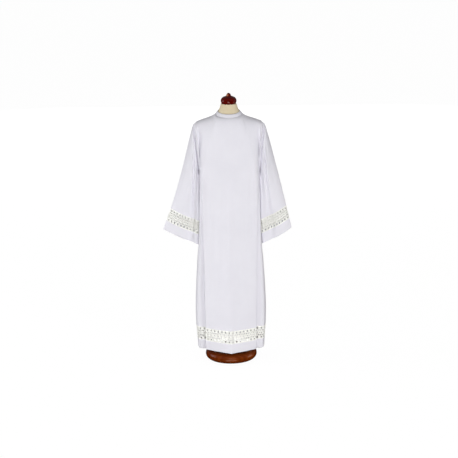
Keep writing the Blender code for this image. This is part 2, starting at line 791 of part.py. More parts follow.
def main():
    clear_scene()
    cloth = make_material("alb_cloth", CLOTH_WHITE, 0.8)
    lace = make_material("alb_openwork", LACE_IVORY, 0.8)
    for face in PANELS:
        add_body_panel(face, cloth)
        add_hem_bands(face, cloth, lace)
    add_collar(cloth)
    for side in SLEEVES:
        add_sleeve(side, cloth)
        add_cuff(side, cloth, lace)
    add_dress_form()


main()
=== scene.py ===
"""Looks of the long white alb on its dress form.

The cloth repeats the part's own formulas on a finer grid, with soft creases, cut openwork, seams and
stitching. Metres, +Z up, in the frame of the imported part. The front of the robe faces -Y, and right and
left are the wearer's, so the left sleeve is on the +X side.
"""

import math

import bpy
import numpy as np
from mathutils import Euler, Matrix, Vector, geometry, noise


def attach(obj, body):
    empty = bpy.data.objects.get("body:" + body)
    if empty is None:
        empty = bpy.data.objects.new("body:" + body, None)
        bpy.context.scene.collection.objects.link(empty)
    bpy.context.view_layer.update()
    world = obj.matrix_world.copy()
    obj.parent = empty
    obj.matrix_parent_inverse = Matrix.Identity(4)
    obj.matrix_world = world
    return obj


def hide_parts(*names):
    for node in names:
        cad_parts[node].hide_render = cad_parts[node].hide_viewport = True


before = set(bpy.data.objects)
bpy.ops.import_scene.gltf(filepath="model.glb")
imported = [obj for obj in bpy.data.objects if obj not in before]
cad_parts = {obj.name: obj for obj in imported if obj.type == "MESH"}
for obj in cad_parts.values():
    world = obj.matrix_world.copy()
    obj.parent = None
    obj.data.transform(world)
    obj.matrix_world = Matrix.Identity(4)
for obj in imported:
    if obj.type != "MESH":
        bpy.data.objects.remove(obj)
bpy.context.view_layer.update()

# ---------------------------------------------------------------- sizes of the part

SEAM_GAP = 0.0003
HEM_HEIGHT = 0.077
LACE_FOOT_HEIGHT = 0.134
LACE_BAND = 0.0785
LACE_TOP_HEIGHT = LACE_FOOT_HEIGHT + LACE_BAND
UNDERARM_HEIGHT = 1.170

FRONT_STATIONS = (
    # station, openwork repeats in the stretch that ends there, folded, bow of that stretch
    ("ridge", 0, False, 0.0),
    ("panel edge", 7, True, 0.02),
    ("tuck", 2, True, 0.0),
    ("side", 3, False, 0.02),
    ("seam", 3, False, 0.01),
)
FRONT_SECTIONS = (
    # height, ridge, panel edge, tuck, side, seam
    (0.077, (0.0, 0.171), (0.153, 0.081), (0.112, 0.060), (0.191, 0.058), (0.200, 0.0)),
    (0.300, (0.0, 0.157), (0.155, 0.088), (0.118, 0.064), (0.202, 0.058), (0.212, 0.0)),
    (0.600, (0.0, 0.147), (0.158, 0.088), (0.128, 0.066), (0.192, 0.058), (0.199, 0.0)),
    (0.850, (0.0, 0.142), (0.162, 0.087), (0.145, 0.069), (0.184, 0.059), (0.177, 0.0)),
    (1.020, (0.0, 0.138), (0.158, 0.094), (0.168, 0.077), (0.181, 0.058), (0.173, 0.0)),
    (1.170, (0.0, 0.135), (0.146, 0.107), (0.167, 0.085), (0.178, 0.055), (0.181, 0.0)),
)
BACK_STATIONS = (
    ("centre", 0, False, 0.0),
    ("inner edge", 4, True, 0.0),
    ("inner tuck", 2, True, 0.0),
    ("outer edge", 4, True, 0.02),
    ("outer tuck", 2, True, 0.0),
    ("side", 3, False, 0.02),
    ("seam", 3, False, 0.01),
)
BACK_SECTIONS = (
    # height, centre, inner edge, inner tuck, outer edge, outer tuck, side, seam
    (0.077, (0.0, 0.142), (0.096, 0.146), (0.060, 0.112),
     (0.162, 0.098), (0.124, 0.070), (0.191, 0.056), (0.200, 0.0)),
    (0.300, (0.0, 0.138), (0.092, 0.142), (0.061, 0.111),
     (0.165, 0.097), (0.131, 0.071), (0.202, 0.055), (0.212, 0.0)),
    (0.600, (0.0, 0.133), (0.084, 0.136), (0.062, 0.109),
     (0.164, 0.094), (0.141, 0.070), (0.192, 0.054), (0.199, 0.0)),
    (0.850, (0.0, 0.127), (0.074, 0.128), (0.066, 0.110),
     (0.157, 0.090), (0.151, 0.071), (0.184, 0.054), (0.177, 0.0)),
    (1.020, (0.0, 0.122), (0.062, 0.120), (0.078, 0.113),
     (0.146, 0.091), (0.164, 0.076), (0.181, 0.054), (0.173, 0.0)),
    (1.170, (0.0, 0.118), (0.050, 0.116), (0.078, 0.112),
     (0.140, 0.097), (0.164, 0.081), (0.178, 0.052), (0.181, 0.0)),
)
PANELS = {
    # face: sign of Y, stations, sections
    "front": (-1, FRONT_STATIONS, FRONT_SECTIONS),
    "back": (1, BACK_STATIONS, BACK_SECTIONS),
}
FOLD_RADIUS = 0.004
FOLD_FULLNESS = 0.8

NECK_CENTRE_Y = -0.004
NECK_TIP = 0.147
NECK_SEAM = {"half_width": 0.079, "half_depth": 0.076, "height": 1.510}
NECK_TOP = {"half_width": 0.0645, "half_depth": 0.065, "height": 1.5260}
SHOULDER_LINE = (
    (0.079, 1.510), (0.092, 1.500), (0.108, 1.492), (0.132, 1.4835), (0.162, 1.4735), (0.187, 1.462),
    (0.2075, 1.4475),
)
SHOULDER_TIP = SHOULDER_LINE[-1]
UNDERARM_X = 0.181
NECK_COLUMNS = 7
ARMHOLE_DEPTH = 0.070
ARMHOLE_HANDLE = ARMHOLE_DEPTH * 4.0 / 3.0
YOKE_RISE = 0.14
YOKE_SWELL = 0.010
CENTRE_HANDLE = 0.132
SHOULDER_HANDLE = 0.116
NECK_DROP = 0.035

SLEEVE_COLUMNS = 10
CUFF_BORDER = 0.057
SLEEVES = {
    "right": {
        "sign": -1,
        "cuff_outer": (0.399, 0.8095),
        "cuff_inner": (0.1940, 0.7180),
        "outer_slope": 0.370,
        "inner_slope": 0.055,
        "cuff_depth": 0.028,
        "lace_depth": 0.036,
        "front_fold": (8.0, 0.007),
        "back_fold": (6.5, 0.012),
    },
    "left": {
        "sign": 1,
        "cuff_outer": (0.368, 0.8120),
        "cuff_inner": (0.1950, 0.7205),
        "outer_slope": 0.235,
        "inner_slope": 0.060,
        "cuff_depth": 0.042,
        "lace_depth": 0.044,
        "front_fold": (6.5, 0.008),
        "back_fold": (7.5, 0.012),
    },
}
# The trough of a cuff's fold and the roll beside it, in columns, and the roll's share of the depth.
CUFF_FOLD = {"width": 0.9, "roll_place": 1.7, "roll_width": 0.8, "roll_height": 0.35}
CUFF_ROUNDNESS = 0.75
SHOULDER_REACH = 0.0127
UNDERARM_REACH = 0.005
FRONT_REACH = 0.012
UNDERARM_DROP = 0.095
SHOULDER_DROP = 0.0075
LOWER_HANDLE = 0.19
INNER_HANDLE_SHARE = 0.5
SLEEVE_SWELL = 0.010

FOOT_PROFILE = (
    # radius, height
    (0.0, 0.0), (0.1270, 0.0), (0.1375, 0.0025), (0.1455, 0.0085), (0.1515, 0.0165), (0.1540, 0.0260),
    (0.1535, 0.0370), (0.1490, 0.0475), (0.1400, 0.0545), (0.1170, 0.0590), (0.0, 0.0620),
)
CAP_PROFILE = (
    (0.0, 1.5690), (0.0405, 1.5690), (0.0448, 1.5765), (0.0463, 1.5860), (0.0440, 1.5955), (0.0375, 1.6035),
    (0.0270, 1.6090), (0.0175, 1.6125), (0.0140, 1.6165), (0.0120, 1.6225), (0.0075, 1.6285), (0.0, 1.6314),
)
POLE_RADIUS = 0.0175
TORSO_SECTIONS = (
    # height, half width, half depth, roundness (2 is an ellipse, less is closer to a lozenge)
    (0.780, 0.060, 0.040, 2.0),
    (0.785, 0.118, 0.078, 2.1),
    (0.800, 0.142, 0.096, 2.2),
    (0.850, 0.153, 0.105, 2.2),
    (0.950, 0.148, 0.101, 2.2),
    (1.050, 0.140, 0.096, 2.2),
    (1.150, 0.150, 0.103, 2.2),
    (1.250, 0.164, 0.112, 2.2),
    (1.330, 0.175, 0.108, 2.0),
    (1.390, 0.184, 0.093, 1.8),
    (1.425, 0.188, 0.081, 1.65),
    (1.447, 0.187, 0.074, 1.55),
    (1.4595, 0.179, 0.071, 1.5),
    (1.4697, 0.166, 0.069, 1.5),
    (1.4777, 0.143, 0.067, 1.5),
    (1.4837, 0.123, 0.066, 1.55),
    (1.4907, 0.1045, 0.065, 1.6),
    (1.4992, 0.0880, 0.064, 1.7),
    (1.5080, 0.0770, 0.063, 1.85),
    (1.5165, 0.0680, 0.0610, 2.0),
    (1.5270, 0.0612, 0.0583, 2.0),
    (1.5390, 0.0560, 0.0545, 2.0),
    (1.5540, 0.0500, 0.0490, 2.0),
    (1.5687, 0.0445, 0.0445, 2.0),
)

# ---------------------------------------------------------------- sizes of the finer surface

FINER = 5
BODY_ROWS = 100
YOKE_ROWS = 62
BAND_ROWS = 12
SLEEVE_ROWS = 84
COLLAR_ROWS = 9
COLLAR_BOW = 0.0004
CLOTH = 0.0009
HEM_CLOTH = 0.0014

# Creases of the body. A path runs through (height, distance along the cloth from the centre line), where
# minus is the wearer's right. A depth above 0 is a trough, below 0 a roll.
CREASES = {
    "front": (
        # path, width, depth
        (((0.12, -0.066), (0.60, -0.052), (1.00, -0.040)), 0.020, 0.0024),
        (((0.14, 0.058), (0.50, 0.050), (0.90, 0.046)), 0.022, 0.0022),
        (((0.30, -0.108), (0.80, -0.096), (1.16, -0.085)), 0.016, 0.0016),
        (((0.46, 0.104), (0.90, 0.088), (1.22, 0.078)), 0.018, 0.0018),
        (((0.55, 0.028), (0.85, 0.026), (1.12, 0.020)), 0.012, 0.0010),
        (((0.50, -0.026), (0.85, -0.020), (1.20, -0.016)), 0.013, 0.0014),
        (((1.20, -0.060), (1.36, -0.092), (1.47, -0.128)), 0.016, 0.0005),
        (((1.22, 0.055), (1.36, 0.090), (1.475, 0.132)), 0.016, 0.0006),
        (((0.70, -0.166), (1.00, -0.166), (1.36, -0.160)), 0.016, -0.0050),
        (((0.70, 0.166), (1.00, 0.166), (1.36, 0.160)), 0.016, -0.0060),
    ),
    "back": (
        (((0.12, -0.048), (0.50, -0.042), (0.92, -0.030)), 0.018, 0.0022),
        (((0.16, 0.052), (0.60, 0.040), (1.02, 0.034)), 0.019, 0.0024),
        (((0.40, 0.016), (0.75, 0.013), (1.10, 0.008)), 0.012, 0.0010),
        (((0.55, -0.020), (0.90, -0.017), (1.24, -0.011)), 0.012, 0.0012),
        (((1.22, -0.050), (1.36, -0.086), (1.47, -0.120)), 0.015, 0.0016),
        (((1.20, 0.058), (1.35, 0.088), (1.465, 0.126)), 0.014, 0.0014),
    ),
}

# Creases of a sleeve. A path runs through (share of the way down, column): columns are counted round the
# sleeve from its outer edge, 0 to 10 over the back to the inner edge and -10 to 0 over the front.
SLEEVE_CREASES = {
    "right": (
        # path, width in columns, depth
        (((0.04, -4.4), (0.30, -6.0), (0.55, -6.9), (0.85, -7.6)), 0.60, 0.0105),
        (((0.03, -2.7), (0.25, -3.8), (0.45, -4.4)), 0.50, 0.0022),
        (((0.34, -3.4), (0.60, -3.0), (0.92, -2.6)), 0.60, 0.0014),
        (((0.04, 4.4), (0.30, 6.0), (0.66, 6.4)), 0.60, 0.0048),
        (((0.04, 2.6), (0.22, 3.1), (0.40, 3.4)), 0.50, 0.0028),
        (((0.12, 6.6), (0.45, 7.6), (0.78, 8.2)), 0.50, 0.0030),
        (((0.40, 4.0), (0.70, 3.4), (0.94, 3.0)), 0.60, 0.0016),
    ),
    "left": (
        (((0.03, -3.8), (0.25, -5.0), (0.50, -6.0), (0.80, -6.4)), 0.60, 0.0105),
        (((0.02, -2.6), (0.25, -3.4), (0.50, -4.0)), 0.50, 0.0026),
        (((0.40, -3.0), (0.65, -2.6), (0.90, -2.4)), 0.60, 0.0016),
        (((0.04, 4.6), (0.32, 6.2), (0.62, 6.8)), 0.60, 0.0046),
        (((0.03, 2.4), (0.24, 3.1), (0.44, 3.6)), 0.50, 0.0030),
        (((0.10, 6.2), (0.45, 7.3), (0.80, 8.0)), 0.50, 0.0032),
        (((0.36, 3.6), (0.64, 3.1), (0.92, 2.8)), 0.60, 0.0016),
    ),
}

# How far the cloth is drawn in beside each armhole seam, how wide that valley is, and how far it runs on
# the body's side of the seam.
ARMHOLE_VALLEY = {"right": (0.016, 0.009, 0.0), "left": (0.018, 0.010, 0.006)}

# The body's cloth stands out in a roll beside each armhole seam: height, distance from the seam, and width.
ARMHOLE_ROLL = (0.0110, 0.022, 0.014)

# Shares of the way up an armhole over which the valley and the roll grow, and then die away.
VALLEY_SPAN = ((0.0, 0.30), (0.80, 1.0))
ROLL_SPAN = ((0.0, 0.25), (0.75, 1.0))

# A crease rises and dies over these shares of its path, and has a low roll at each side: its distance in
# crease widths, and its height as a share of the crease's depth.
CREASE_SPAN = ((-0.02, 0.28), (0.62, 1.02))
CREASE_ROLL = {"distance": 1.9, "height": 0.35}

# All creases fade towards a piece's edges: in metres at its sides and the lace, elsewhere in shares of its
# length.
FADE_AT_EDGE = (0.0, 0.022)
FADE_AT_LACE = (0.0, 0.05)
FADE_AT_SHOULDER = (0.0, 0.10)
FADE_AT_ARMHOLE = (0.0, 0.07)
FADE_AT_CUFF = (0.93, 1.0)
FADE_AT_UNDERARM = (0.02, 0.20)
UNDERARM_COLUMNS = 0.9
LEAN_STARTS = (0.0, 0.14)

# Radius of the pressed centre crease at its foot and at its head, the heights between which it changes, how
# far to each side it is softened, and how far below the neck seam that ends.
RIDGE_RADII = (0.004, 0.012)
RIDGE_HEIGHTS = (0.9, 1.3)
RIDGE_REACH = 0.06
RIDGE_END = 0.02
RIDGE_FADE = (0.0, 0.03)

# Slight unevenness of the cloth: its height, its waves a metre across, and the share of those up the cloth.
BODY_RIPPLE = (0.0012, 9.0, 0.35)
SLEEVE_RIPPLE = (0.0014, 11.0, 0.4)

# How far the sleeves' inner edges lean in against the body, and bulge forwards beside it: distance, column
# and width in columns.
SLEEVE_LEAN = (0.006, 10.0, 1.6)
SLEEVE_BULGE = (0.022, 9.6, 1.0)
SLEEVE_ROW_CROWDING = 1.15

# Openwork repeat, in millimetres: PITCH wide and LACE_BAND high. Taper narrows a hole upwards.
PITCH = 24.0
HOLES = (
    # across, up, half width, half height, slant in degrees, taper, sides, cord width
    (12.0, 10.4, 4.9, 6.4, 0.0, -0.25, 18, 1.1),
    (12.0, 68.1, 4.9, 6.6, 0.0, 0.25, 18, 1.1),
    (6.0, 25.6, 2.8, 6.0, 34.0, 0.15, 16, 0.9),
    (18.0, 25.6, 2.8, 6.0, -34.0, 0.15, 16, 0.9),
    (6.0, 52.9, 2.8, 6.0, -34.0, -0.15, 16, 0.9),
    (18.0, 52.9, 2.8, 6.0, 34.0, -0.15, 16, 0.9),
    (12.0, 39.25, 3.2, 4.2, 0.0, 0.0, 16, 1.1),
    (1.9, 39.25, 1.2, 2.8, 0.0, 0.0, 12, 0.6),
    (22.1, 39.25, 1.2, 2.8, 0.0, 0.0, 12, 0.6),
)
# How much smaller the holes are all round, in millimetres: the band is worked tighter on the front panel,
# and tighter still round the back of the cuffs.
REPEATS = {"open": 0.0, "tight": 1.0, "tightest": 1.8}
LEAST_HOLE = 0.3
EDGE_STEPS = 6
TOLERANCE = 1e-4
# Rings of points from a hole's rim outwards: shares of its cord's width, and of the cord's height.
CORD_RINGS = ((0.0, 0.2), (0.45, 1.0), (1.0, 0.0))
CORD_HEIGHT = 0.45
CORD_BACK = 0.3
LACE_CLOTH = 0.0006
CORDS = (
    # place up the band, swing to each side (millimetres), radius in metres
    (2.2, 0.0, 0.0008),
    (76.3, 0.0, 0.0008),
    (33.0, 0.9, 0.0005),
    (45.5, -0.9, 0.0005),
)
CORD_LIFT = 0.5
# How far a cloth's rounded edge stands out, in thicknesses.
EDGE_ROUND = 0.15
HEM_ROUND = 0.6
STITCH = {"spacing": 0.0046, "length": 0.0031, "radius": 0.00034, "full_share": 0.55, "lift": 0.2}
STITCH_SLOPE_STEP = 0.001
THREAD_SIDES = 5
SHARP_ANGLE = 52.0

# ---------------------------------------------------------------- small helpers


def unit(vectors):
    return vectors / np.maximum(np.linalg.norm(vectors, axis=-1, keepdims=True), 1e-12)


def between(a, b, t):
    return a + (b - a) * t


def ease(low, high, value):
    """0 below low, 1 above high, and a smooth rise between them."""
    t = np.clip((value - low) / (high - low), 0.0, 1.0)
    return t * t * (3.0 - 2.0 * t)


def lasting(span, value):
    """0, a smooth rise to 1, and a smooth fall back to 0."""
    rise, fall = span
    return ease(*rise, value) * (1.0 - ease(*fall, value))


def bell(value, width):
    return np.exp(-((value / width) ** 2))


def bezier(p0, p1, p2, p3, t):
    s = 1.0 - t
    return p0 * s**3 + p1 * 3 * s * s * t + p2 * 3 * s * t * t + p3 * t**3


def through(p0, p1, start, end, t):
    """A cubic from p0 to p1 that leaves and arrives with the given slopes."""
    rise = t * t * (3.0 - 2.0 * t)
    return p0 + (p1 - p0) * rise + start * t * (1 - t) ** 2 - end * t * t * (1 - t)


def wander(points, scale, seed):
    """Soft noise from -1 to 1 at every point of a grid, the same each time."""
    flat = points.reshape(-1, 3) * scale + np.array((seed * 7.3, seed * 3.1, seed * 5.7))
    values = [noise.noise(Vector(p)) for p in flat]
    return np.array(values).reshape(points.shape[:-1])


def smooth_read(table, at):
    """Values at a height, on a smooth curve through a table's rows, whose first column is the height."""
    last = len(table) - 1
    i = max(k for k in range(last) if k == 0 or table[k][0] <= at)
    near = [table[min(max(k, 0), last)] for k in (i - 1, i, i + 1, i + 2)]
    rows = [np.array(row[1:], dtype=float) for row in near]
    heights = [row[0] for row in near]
    span = heights[2] - heights[1]
    t = (at - heights[1]) / span
    start = (rows[2] - rows[0]) / (heights[2] - heights[0]) * span
    end = (rows[3] - rows[1]) / (heights[3] - heights[1]) * span
    return through(rows[1], rows[2], start, end, t)


def rippled(grid, ripple, seed):
    height, waves, drawn_out = ripple
    return height * wander(grid * np.array((1.0, 1.0, drawn_out)), waves, seed)


def row_lengths(row):
    """Distance along a row of points, from its first."""
    steps = np.linalg.norm(np.diff(row, axis=0), axis=-1)
    return np.concatenate(([0.0], np.cumsum(steps)))


def grid_normals(grid, closed=False):
    along = np.roll(grid, -1, axis=1) - np.roll(grid, 1, axis=1) if closed else np.gradient(grid, axis=1)
    return unit(np.cross(along, np.gradient(grid, axis=0)))


def mirrored(grid):
    """The same grid on the other side of the robe, in the order that keeps its outside out."""
    return grid[:, ::-1] * np.array((-1.0, 1.0, 1.0))


# ---------------------------------------------------------------- meshes


def add_mesh(name, points, faces, uvs, material, replaced):
    """One piece of the robe or its form, which takes the place of the part's nodes that it names."""
    mesh = bpy.data.meshes.new(name)
    mesh.from_pydata(points.tolist(), [], faces)
    layer = mesh.uv_layers.new(name="cloth")
    corners = np.empty(len(mesh.loops), dtype=np.int32)
    mesh.loops.foreach_get("vertex_index", corners)
    layer.data.foreach_set("uv", uvs[corners].astype(np.float32).ravel())
    mesh.shade_smooth()
    mesh.set_sharp_from_angle(angle=math.radians(SHARP_ANGLE))
    mesh.materials.append(material)
    obj = bpy.data.objects.new("fine_" + name, mesh)
    bpy.context.scene.collection.objects.link(obj)
    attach(obj, "root")
    if replaced:
        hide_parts(*replaced)
    return obj


def strip(start, columns, closed=True):
    """The faces between a row of points, numbered from start, and the row that follows it."""
    for j in range(columns if closed else columns - 1):
        k = (j + 1) % columns
        yield start + j, start + k, start + columns + k, start + columns + j


def border_loops(rows, columns, closed):
    """Outlines of a grid, each a closed loop of point numbers with the grid on its left."""
    grid = np.arange(rows * columns).reshape(rows, columns)
    if closed:
        return [list(grid[0]), list(grid[-1][::-1])]
    right = list(grid[1:, -1])
    top = list(grid[-1, -2::-1])
    left = list(grid[-2:0:-1, 0])
    return [list(grid[0]) + right + top + left]


def add_cloth(name, grid, material, closed=False, thickness=CLOTH, rounding=EDGE_ROUND):
    """A thin cloth shell with rounded edges, in place of one node. The grid is its outside."""
    rows, columns = grid.shape[:2]
    outward = grid_normals(grid, closed)
    outer = grid.reshape(-1, 3)
    inner = (grid - outward * thickness).reshape(-1, 3)
    count = len(outer)
    lengths = np.array([row_lengths(row) for row in grid])
    lengths -= lengths[:, columns // 2 : columns // 2 + 1]
    rise = np.cumsum(np.linalg.norm(np.diff(grid, axis=0, prepend=grid[:1]), axis=-1).mean(axis=1))
    flat = np.stack([lengths, np.repeat(rise[:, None], columns, axis=1)], axis=-1).reshape(-1, 2)
    faces = []
    for i in range(rows - 1):
        for quad in strip(i * columns, columns, closed):
            faces += [quad, tuple(count + c for c in reversed(quad))]
    points = [outer, inner]
    uvs = [flat, flat]
    start = 2 * count
    facing = outward.reshape(-1, 3)
    for loop in border_loops(rows, columns, closed):
        ring = outer[loop]
        tangent = unit(np.roll(ring, -1, axis=0) - np.roll(ring, 1, axis=0))
        away = unit(np.cross(tangent, facing[loop]))
        points.append((ring + inner[loop]) / 2 + away * thickness * rounding)
        uvs.append(flat[loop])
        for k, a in enumerate(loop):
            n = (k + 1) % len(loop)
            b = loop[n]
            faces.append((b, a, start + k, start + n))
            faces.append((start + n, start + k, count + a, count + b))
        start += len(loop)
    obj = add_mesh(name, np.concatenate(points), faces, np.concatenate(uvs), material, (name,))


def seam_line(grid, row, closed=False):
    """A row of a grid to be stitched: its points, the way out of the cloth, and whether it runs all round."""
    return grid[row], grid_normals(grid, closed)[row], closed


def stitched(path, outward, closed):
    """Places of the stitches along a path: their middles, the way they run, and the way out of the cloth."""
    if closed:
        path = np.vstack([path, path[:1]])
        outward = np.vstack([outward, outward[:1]])
    lengths = row_lengths(path)
    count = max(2, int(lengths[-1] / STITCH["spacing"]))
    marks = (np.arange(count) + 0.5) * lengths[-1] / count

    def read(values, at):
        return np.stack([np.interp(at, lengths, values[:, k]) for k in range(3)], axis=-1)

    way = read(path, marks + STITCH_SLOPE_STEP) - read(path, marks - STITCH_SLOPE_STEP)
    return read(path, marks), unit(way), unit(read(outward, marks))


def add_stitches(name, seams, material):
    """Lines of raised thread stitches. Each stitch is a small bar with its ends sunk in the cloth."""
    points = []
    faces = []
    half = STITCH["length"] / 2
    full = STITCH["full_share"] * half
    radius = STITCH["radius"]
    turns = [2 * math.pi * k / THREAD_SIDES for k in range(THREAD_SIDES)]
    for seam in seams:
        for middle, way, out in zip(*stitched(*seam)):
            side = np.cross(way, out)
            foot = len(points)
            head = foot + 1 + 2 * THREAD_SIDES
            points.append(middle - way * half - out * radius)
            for along in (-full, full):
                for angle in turns:
                    ring = side * math.cos(angle) + out * (math.sin(angle) + STITCH["lift"])
                    points.append(middle + way * along + ring * radius)
            points.append(middle + way * half - out * radius)
            for a, b, c, d in strip(foot + 1, THREAD_SIDES):
                faces += [(foot, b, a), (a, b, c, d), (head, d, c)]
    points = np.array(points)
    add_mesh(name, points, faces, points[:, [0, 2]], material, ())


# ---------------------------------------------------------------- body of the robe


def half_section(face, height):
    """Half a section of the body at a height, from the centre to the side seam, as rows of (x, depth).

    Every cell of the part is FINER cells here, and the turns of the folds are rounded.
    """
    _, stations, sections = PANELS[face]
    marks = smooth_read(sections, height)
    runs = []
    for k in range(1, len(stations)):
        start, end = marks[k - 1], marks[k]
        length = np.linalg.norm(end - start)
        way = (end - start) / length
        first = start + way * (FOLD_RADIUS if stations[k - 1][2] else 0.0)
        last = end - way * (FOLD_RADIUS if stations[k][2] else 0.0)
        t = np.linspace(0.0, 1.0, stations[k][1] * FINER + 1)[:, None]
        bow = np.array((-way[1], way[0])) * stations[k][3] * length
        runs.append(between(first, last, t) + bow * 4.0 * t * (1.0 - t))
    points = [runs[0]]
    for k in range(1, len(runs)):
        if not stations[k][2]:
            points.append(runs[k][1:])
            continue
        a, b, mark = runs[k - 1][-1], runs[k][0], marks[k]
        t = np.linspace(0.0, 1.0, FINER + 1)[1:-1, None]
        points.append(bezier(a, between(a, mark, FOLD_FULLNESS), between(b, mark, FOLD_FULLNESS), b, t))
        points.append(runs[k])
    half = np.concatenate(points)
    corner = len(half) - 1 - stations[-1][1] * FINER
    first, mark, last = half[corner - FINER : corner + FINER + 1 : FINER].copy()
    t = np.linspace(0.0, 1.0, 2 * FINER + 1)[:, None]
    rounded = first * (1 - t) ** 2 + mark * 2 * t * (1 - t) + last * t * t
    half[corner - FINER : corner + FINER + 1] = rounded
    return half


def whole_row(plus, face):
    """A whole row from its +X half, in the order that turns its outside outwards."""
    minus = plus[:0:-1] * np.array((-1.0, 1.0, 1.0))
    row = np.concatenate([minus, plus])
    return row if PANELS[face][0] < 0 else row[::-1]


def half_row(face, height):
    """The same half section as points of the robe's frame."""
    sign = PANELS[face][0]
    half = half_section(face, height)
    depth = sign * np.maximum(half[:, 1], SEAM_GAP / 2)
    return np.stack([half[:, 0], depth, np.full(len(half), height)], axis=-1)


def body_row(face, height):
    """A whole row of the body, anywhere from the hem to the underarm."""
    return whole_row(half_row(face, height), face)


def neck_point(ring, angle):
    """A point of a neckline ring; the angle is 0 at the +X side and -90 degrees at the centre front."""
    y = NECK_CENTRE_Y + ring["half_depth"] * math.sin(angle)
    return np.array((ring["half_width"] * math.cos(angle), y, ring["height"] + NECK_TIP * y))


def neck_angle(sign, step):
    """Angle of a column at the neckline, from the centre line to the shoulder seam."""
    shoulder = math.asin((sign * SEAM_GAP / 2 - NECK_CENTRE_Y) / NECK_SEAM["half_depth"])
    return between(sign * math.pi / 2, shoulder, step / NECK_COLUMNS)


def neck_outward(angle):
    return np.array((math.cos(angle), math.sin(angle), 1.0)) / math.sqrt(2.0)


def shoulder_point(along, sign):
    """A point of the shoulder seam: along is 0 at the neck and 1 at the tip."""
    x = between(SHOULDER_LINE[0][0], SHOULDER_TIP[0], along)
    return np.array((x, sign * SEAM_GAP / 2, smooth_read(SHOULDER_LINE, x)[0]))


def armhole_ends():
    low = np.array((UNDERARM_X, 0.0, UNDERARM_HEIGHT))
    high = np.array((SHOULDER_TIP[0], 0.0, SHOULDER_TIP[1]))
    return low, high


def armhole_point(sign, up):
    """A point of the armhole on the +X side: up is 0 at the underarm and 1 at the shoulder tip."""
    low, high = armhole_ends()
    handle = np.array((0.0, sign * ARMHOLE_HANDLE, 0.0))
    point = bezier(low, low + handle, high + handle, high, up)
    point[1] = sign * max(sign * point[1], SEAM_GAP / 2)
    return point


def armhole_outward(sign, up):
    """Direction away from the middle of the armhole, in its plane."""
    low, high = armhole_ends()
    spoke = armhole_point(sign, up) - (low + high) / 2
    if up in (0.0, 1.0):
        spoke[1] = 0.0
    return spoke / np.linalg.norm(spoke)


def yoke_curves(face):
    """For each column of the +X half: the curve that carries it from the underarm row over the shoulder."""
    sign, stations, _ = PANELS[face]
    low = half_row(face, UNDERARM_HEIGHT)
    last = (len(low) - 1) / FINER
    side = last - stations[-1][1]
    curves = []
    for k, start in enumerate(low):
        j = k / FINER
        if j < NECK_COLUMNS:
            high = neck_point(NECK_SEAM, neck_angle(sign, j))
            part = j / NECK_COLUMNS
            handle_depth = between(CENTRE_HANDLE, SHOULDER_HANDLE, part)
            drop = NECK_DROP * (1.0 - part) ** 2
        else:
            along = (j - NECK_COLUMNS) / (last - NECK_COLUMNS)
            high = shoulder_point(along, sign)
            handle_depth = between(SHOULDER_HANDLE, ARMHOLE_HANDLE, along)
            drop = 0.0
        turn = max(0.0, (j - side) / (last - side))
        swell = YOKE_SWELL * math.sin(math.pi * j / last)
        rise = np.array((0.0, sign * swell, YOKE_RISE))
        handle = between(rise, np.array((0.0, sign * ARMHOLE_HANDLE, 0.0)), ease(0.0, 1.0, turn))
        curves.append((start, start + handle, np.array((high[0], sign * handle_depth, high[2] - drop)), high))
    return np.array(curves)


def body_grid(face):
    """The outside of a body panel, from the top of the hem openwork over the shoulder."""
    sign = PANELS[face][0]
    heights = np.linspace(LACE_TOP_HEIGHT + SEAM_GAP, UNDERARM_HEIGHT, BODY_ROWS)
    rows = [body_row(face, height) for height in heights]
    curves = yoke_curves(face).swapaxes(0, 1)
    for up in np.linspace(0.0, 1.0, YOKE_ROWS + 1)[1:]:
        plus = bezier(*curves, up)
        plus[-1] = armhole_point(sign, up)
        rows.append(whole_row(plus, face))
    return np.array(rows)


def soften_ridge(grid):
    """Rounds the pressed centre crease: tight at the hem, softer on the chest."""
    middle = grid.shape[1] // 2
    x = np.abs(grid[..., 0])
    reach = 2 * FINER
    step = grid[:, middle + reach] - grid[:, middle]
    slope = np.abs(step[:, 1] / np.maximum(np.abs(step[:, 0]), 1e-6))[:, None]
    radius = between(*RIDGE_RADII, ease(*RIDGE_HEIGHTS, grid[:, middle, 2]))[:, None]
    inward = slope * (np.sqrt(x * x + radius * radius) - x) * bell(x, RIDGE_REACH)
    grid[..., 1] += inward * ease(*RIDGE_FADE, NECK_SEAM["height"] - grid[..., 2] - RIDGE_END)
    return grid


def pressed(path, at, across, width, depth):
    """How far one crease pushes each point outwards. at is the point's place along the crease's path."""
    stations = np.array(path)
    centre = np.interp(at, stations[:, 0], stations[:, 1])
    span = stations[-1, 0] - stations[0, 0]
    away = across - centre
    beside = CREASE_ROLL["distance"] * width
    rolls = bell(away - beside, width) + bell(away + beside, width)
    life = lasting(CREASE_SPAN, (at - stations[0, 0]) / span)
    return -depth * life * (bell(away, width) - CREASE_ROLL["height"] * rolls)


